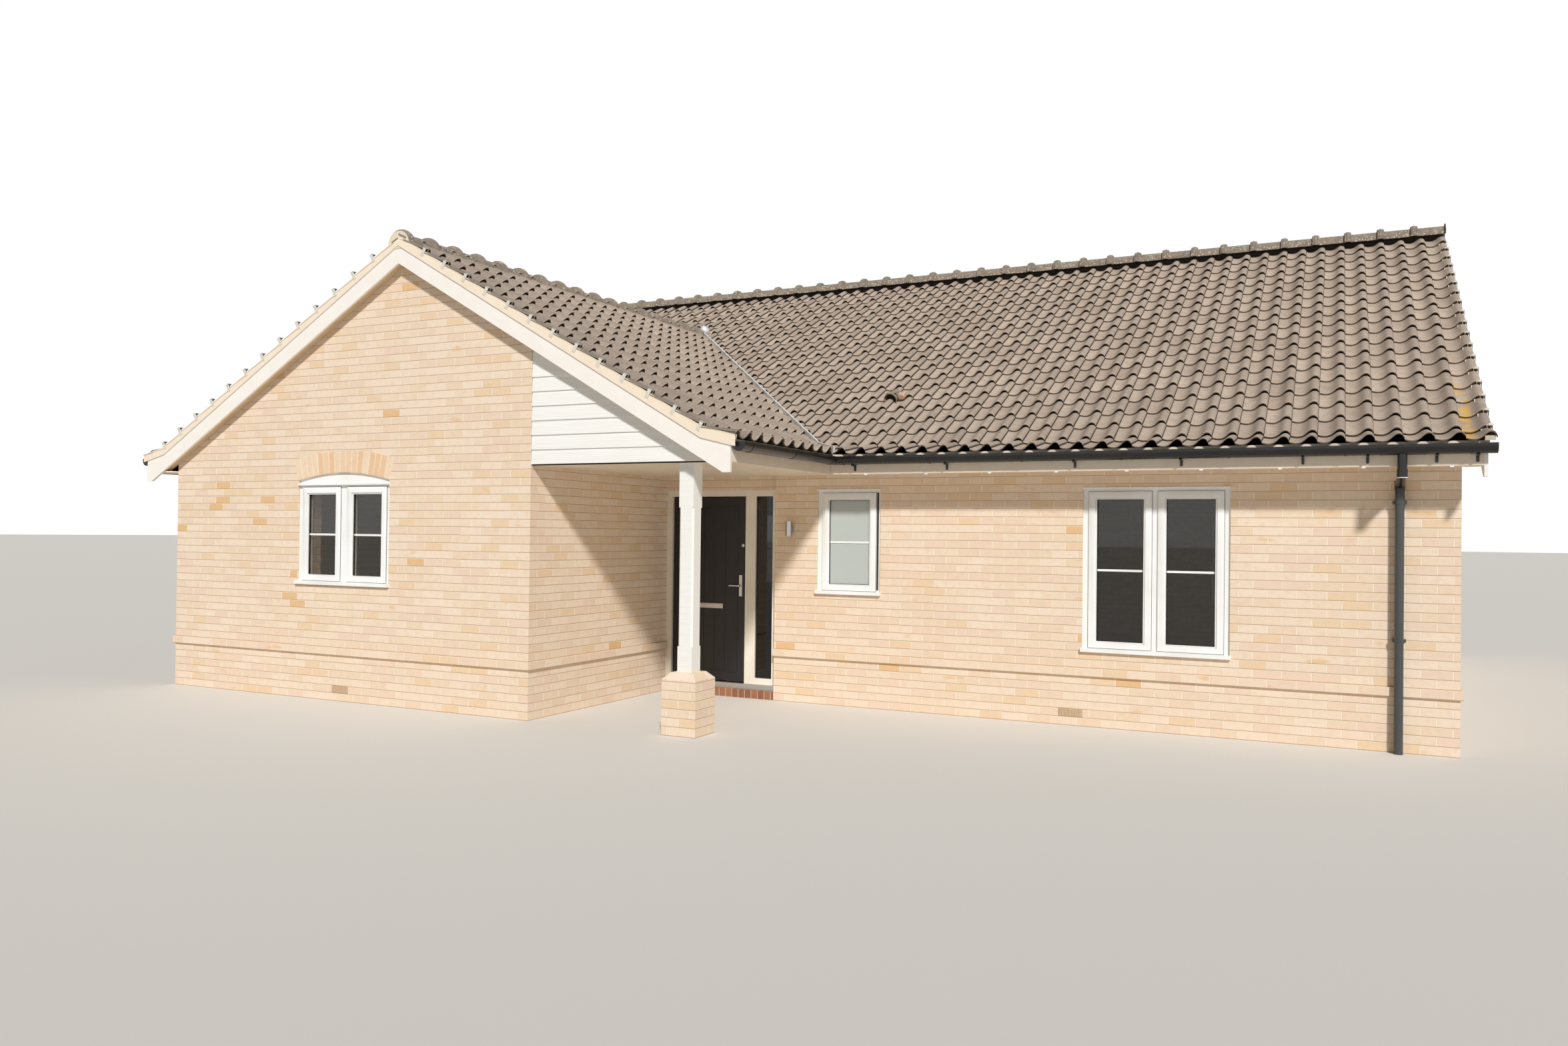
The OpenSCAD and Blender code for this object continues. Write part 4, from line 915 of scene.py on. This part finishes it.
# Lead saddle where the wing's ridge dies into the main roof, and a vent on the main slope: a hooded roll
# open at its lower end, with a tan cheek of newer clay beside it.
lead = tinted("weathered_lead", 25.0, 5.0, [(0.3, "#dcdee0"), (0.8, "#b9bbbd")],
              roughness=0.55, metallic=0.3)[0]
saddle_spot = Vector((-1.400, 5.440, 4.500))
saddle = begin(bpy.ops.mesh.primitive_uv_sphere_add, segments=20, ring_count=12, radius=0.5,
               location=saddle_spot)
saddle.scale = (0.150, 0.150, 0.130)
settle(saddle)
for vertex in saddle.data.vertices:
    vertex.co.z -= 0.40 * abs(vertex.co.x - saddle_spot.x)
fit(saddle, "lead_saddle", lead, smooth=60)

vent_y = 3.090
hood_spot = Vector((2.250, vent_y, main_top - (main_ridge_y - vent_y) * math.tan(slope) + 0.034))
hood_turn = Matrix.Translation(hood_spot) @ Matrix.Rotation(slope, 4, "X")
hood = begin(bpy.ops.mesh.primitive_cone_add, vertices=24, radius1=0.072, radius2=0.030, depth=0.220,
             end_fill_type="NOTHING")
hood.data.transform(Matrix.Translation((0, 0.100, 0)) @ Matrix.Rotation(-math.pi / 2, 4, "X"))
modify(hood, "SOLIDIFY", thickness=0.009)
shape(hood, bpy.ops.mesh.normals_make_consistent, inside=False)
# A dark block in the hood's mouth is painted shade in the opening
throat_shade = block((-0.058, 0.030, -0.060), (0.058, 0.045, 0.055), 0.012)
cheek = block((0.062, 0.040, -0.030), (0.140, 0.120, 0.036), 0.012)
tan_clay = tinted("tan_clay_vent_cheek", 30.0, 5.0, [(0.3, "#ceb196"), (0.75, "#bc9f84")], roughness=0.85)[0]
for piece, name, material in ((hood, "vent_hood", ridge_concrete), (throat_shade, "vent_throat_shade", felt_and_void_shade),
                              (cheek, "vent_cheek", tan_clay)):
    piece.data.transform(hood_turn)
    fit(piece, name, material)


# Verges and eaves: white-painted bargeboards with boxed feet, a cream verge strip 80 mm deep over the
# front one, tan boards behind them, cream fascias and soffits, mortar under the verge tiles, a pale grey
# clip on each verge tile, and small white tabs under the fascias.
barge, shader, place = tinted("white_painted_bargeboard", 7.0, 7.0, [(0.35, "#f5efe7"), (0.8, "#f0e9df")],
                              roughness=0.45)[:3]
strokes = add(barge, "TexNoise", {"Vector": place, "Scale": 140.0, "Detail": 3.0})
strokes = add(barge, "Bump", {"Height": strokes, "Strength": 0.05, "Distance": 0.001})
link(strokes, shader.inputs["Normal"])
dress(["front_bargeboard", "end_bargeboards"], barge)

cream = tinted("cream_fascia_board", 6.0, 7.0, [(0.35, "#f4e4cf"), (0.8, "#ecdac2")], roughness=0.42)[0]
dress(["front_fascias", "rear_fascias", "eaves_soffits"], cream)

barge_inset = 0.080
strips = []
verge_boards = []
verge_mortar = []


def wing_edge(side, y, line):
    """Points down one slope of the wing, from distances from its ridge and heights."""
    return [Vector((wing_ridge_x + side * u, y, z)) for u, z in line]


def main_edge(side, x, line):
    """Points down the front slope of the main roof where side is 1, or else down its rear slope."""
    return [Vector((x, main_ridge_y - side * u, z)) for u, z in line]


def board_line(top, end):
    """The tan boards run straight, 230 mm below a slope's bed."""
    return [(u, top - 0.230 - u * math.tan(slope)) for u in (0.0, end)]


for side in (-1, 1):
    ends = (0.0, 0.100, wing_knee, wing_half + lip - 0.002)
    foot, head = (wing_edge(side, -0.115, falling(wing_half, wing_top, below, ends))
                  for below in (0.081, 0.001))
    # The strips meet lower, under the mortar of the ridge's end
    head[0].z -= 0.036
    strips.append(ribbon(foot, head, 0.0035))
    line = board_line(wing_top, wing_half - 0.200)
    verge_boards.append(ribbon(wing_edge(side, -0.081, line), wing_edge(side, -0.001, line), 0.010))
    for verge_x, wall_x in ((right_verge - barge_inset, main_width), (left_verge + barge_inset, -wing_width)):
        # The left verge ends at the wing's valley in front
        short = side > 0 and verge_x < 0
        line = board_line(main_top, main_ridge_y - 2.200 if short else main_half - 0.200)
        verge_boards.append(ribbon(main_edge(side, verge_x, line), main_edge(side, wall_x, line), 0.010))
        ends = (0.0, main_ridge_y - 2.150) if short else (0.0, main_knee, main_half + lip - 0.010)
        line = falling(main_half, main_top, 0.004, ends)
        outer_x = verge_x + math.copysign(0.070, verge_x)
        verge_mortar.append(ribbon(main_edge(side, verge_x, line), main_edge(side, outer_x, line), 0.034))
line = falling(wing_half, wing_top, 0.006, (0.120, wing_knee, wing_half + lip - 0.010))
verge_mortar.append(ribbon(wing_edge(1, -0.114, line), wing_edge(1, -0.075, line), 0.044))
fit(join(strips), "cream_verge_strips", cream)
fit(join(verge_mortar), "verge_mortar", lime)
# The tan of the boards under the verges is painted shade
verge_board_shade_tan = tinted("tan_verge_board_painted_shade", 8.0, 6.0, [(0.3, "#dcc3a0"), (0.8, "#cdb08a")],
                   roughness=0.55)[0]
fit(join(verge_boards), "verge_soffit_boards", verge_board_shade_tan)

galvanised, shader, place = new_material("galvanised_verge_clip", roughness=0.6, metallic=0.2)
spangle = add(galvanised, "TexVoronoi", {"Vector": place, "Scale": 80.0})
tone = add(galvanised, "ValToRGB", {"Fac": spangle})
set_stops(tone, [(0.1, "#ece7db"), (0.6, "#d2ccbf")])
link(tone, shader.inputs["Base Color"])
# A hook over the tail of the verge tile and a leg down its side
clip = join([block((0.0, 0.0, 0.046), (0.046, 0.036, 0.051), 0.001),
             block((0.0, 0.0, -0.034), (0.0028, 0.036, 0.051), 0.001),
             block((0.036, 0.0, 0.020), (0.040, 0.008, 0.050), 0.001)])
clips = []
for start, level, across, half, courses in (
        ((wing_ridge_x, front_verge + 0.0001), (-1, 0, 0), (0, 1, 0), wing_half, wing_courses),
        ((wing_ridge_x, front_verge + 0.0001), (1, 0, 0), (0, 1, 0), wing_half, wing_courses),
        ((right_verge - 0.0001, main_ridge_y), (0, 1, 0), (-1, 0, 0), main_half, main_courses)):
    level = Vector(level)
    up = level * pitch_z + Vector((0, 0, pitch_x))
    out = Vector((0, 0, pitch_z)) - level * pitch_x
    turn = Matrix((Vector(across), up, out)).transposed().to_4x4()
    foot = Vector((*start, eaves_level + kick_run * math.tan(kick_pitch))) - level * (half - kick_run)
    for i in range(courses - 1):
        clips.append(another(clip, Matrix.Translation(foot + up * (i * gauge - 0.004)) @ turn))
bpy.data.objects.remove(clip)
clips = shape(join(clips), bpy.ops.mesh.normals_make_consistent, inside=False)
fit(clips, "verge_tile_clips", galvanised)

tabs = []
for i in range(9):
    left = 2.45 + i * 0.600
    tabs.append(block((left, porch_depth - 0.362, 2.263), (left + 0.030, porch_depth - 0.340, 2.277), 0.002))
fit(join(tabs), "fascia_tabs", vinyl)


# Rainwater goods: black vinyl half-round gutters on brackets, unions and round downpipes, glossy when new and
# filmed with dust in patches. Below the swan neck the pipes are painted grey, a painted sheen of the sun on
# them.
black_vinyl, shader, place, dust, tone = tinted(
    "black_rainwater_vinyl", 8.0, 7.0, [(0.35, "#0e0e0e"), (0.8, "#1b1a19")], roughness=0.3, ior=1.53)
height = add(black_vinyl, "SeparateXYZ", {"Vector": place}).outputs["Z"]
# Painted sheen: the pipes turn grey below the swan neck
link(coat(black_vinyl, tone, height, 2.10, 2.02, 0.85, "#4a4b4c"), shader.inputs["Base Color"])
gloss = add(black_vinyl, "MapRange", {"Value": dust, "To Min": 0.15, "To Max": 0.35})
link(gloss, shader.inputs["Roughness"])
dress(["front_gutter", "rear_gutters", "front_downpipe", "rear_downpipes"], black_vinyl)

# Hooks of the fascia brackets show below the gutter, and a pale seal shows in the swan neck's socket
hooks = []
for left in (2.350, 3.260, 4.420, 5.300, 6.224, 6.684, 7.154, 7.422):
    hooks.append(block((left, 1.795, 2.344), (left + 0.020, 1.8775, 2.362), 0.005))
    hooks.append(block((left, 1.866, 2.300), (left + 0.020, 1.8775, 2.350), 0.004))
fit(join(hooks), "bracket_hooks", black_vinyl)
seal = begin(bpy.ops.mesh.primitive_cylinder_add, vertices=32, radius=0.0395, depth=0.006,
             location=(6.930, 1.815, 2.184))
shape(seal, bpy.ops.mesh.bevel, offset=0.0012, segments=1, affect="EDGES")
fit(seal, "socket_seal", vinyl)


# Floor, lamps and camera: a pale floor, a soft sun from the upper right, and the photograph's view.
ground = begin(bpy.ops.mesh.primitive_plane_add, size=400, location=(0, 0, 0))
ground.name = "studio_floor"
floor_paint = new_material("pale_studio_floor", roughness=0.9, base_color=linear("#dcd8d1"))[0]
ground.data.materials.append(floor_paint)

sun_data = bpy.data.lights.new("soft_sun", "SUN")
sun_data.energy = 3.15
sun_data.angle = math.radians(5)
sun = bpy.data.objects.new("soft_sun", sun_data)
bpy.context.collection.objects.link(sun)
sun.rotation_euler = Vector((-0.42, 0.66, -0.60)).to_track_quat("-Z", "Y").to_euler()

# A dim sky lights the house, and looks white to the camera, in reflections and through glass
world = bpy.data.worlds.new("studio")
bpy.context.scene.world = world
world.use_nodes = True
background = world.node_tree.nodes["Background"]
background.inputs["Color"].default_value = (1, 1, 1, 1)
path = add(world, "LightPath").outputs
seen = add(world, "Math", {0: path["Is Camera Ray"], 1: path["Is Glossy Ray"]}, operation="MAXIMUM")
seen = add(world, "Math", {0: seen, 1: path["Is Transmission Ray"]}, operation="MAXIMUM")
strength = add(world, "MapRange", {"Value": seen, "To Min": 0.17, "To Max": 1.0})
link(strength, background.inputs["Strength"])

camera_data = bpy.data.cameras.new("camera")
camera_data.lens = 25.91
camera_data.sensor_width = 36.0
camera_data.clip_end = 500.0
camera = bpy.data.objects.new("camera", camera_data)
bpy.context.collection.objects.link(camera)
# It looks to the left of straight ahead, a little up, and leans a little to the left
view = Matrix.Translation(corner + Vector((6.495, -8.0574, 1.7012)))
for angle, axis in ((26.1806, "Z"), (90.5301, "X"), (0.6553, "Z")):
    view = view @ Matrix.Rotation(math.radians(angle), 4, axis)
camera.matrix_world = view
bpy.context.scene.camera = camera
bpy.context.scene.view_settings.view_transform = "Standard"
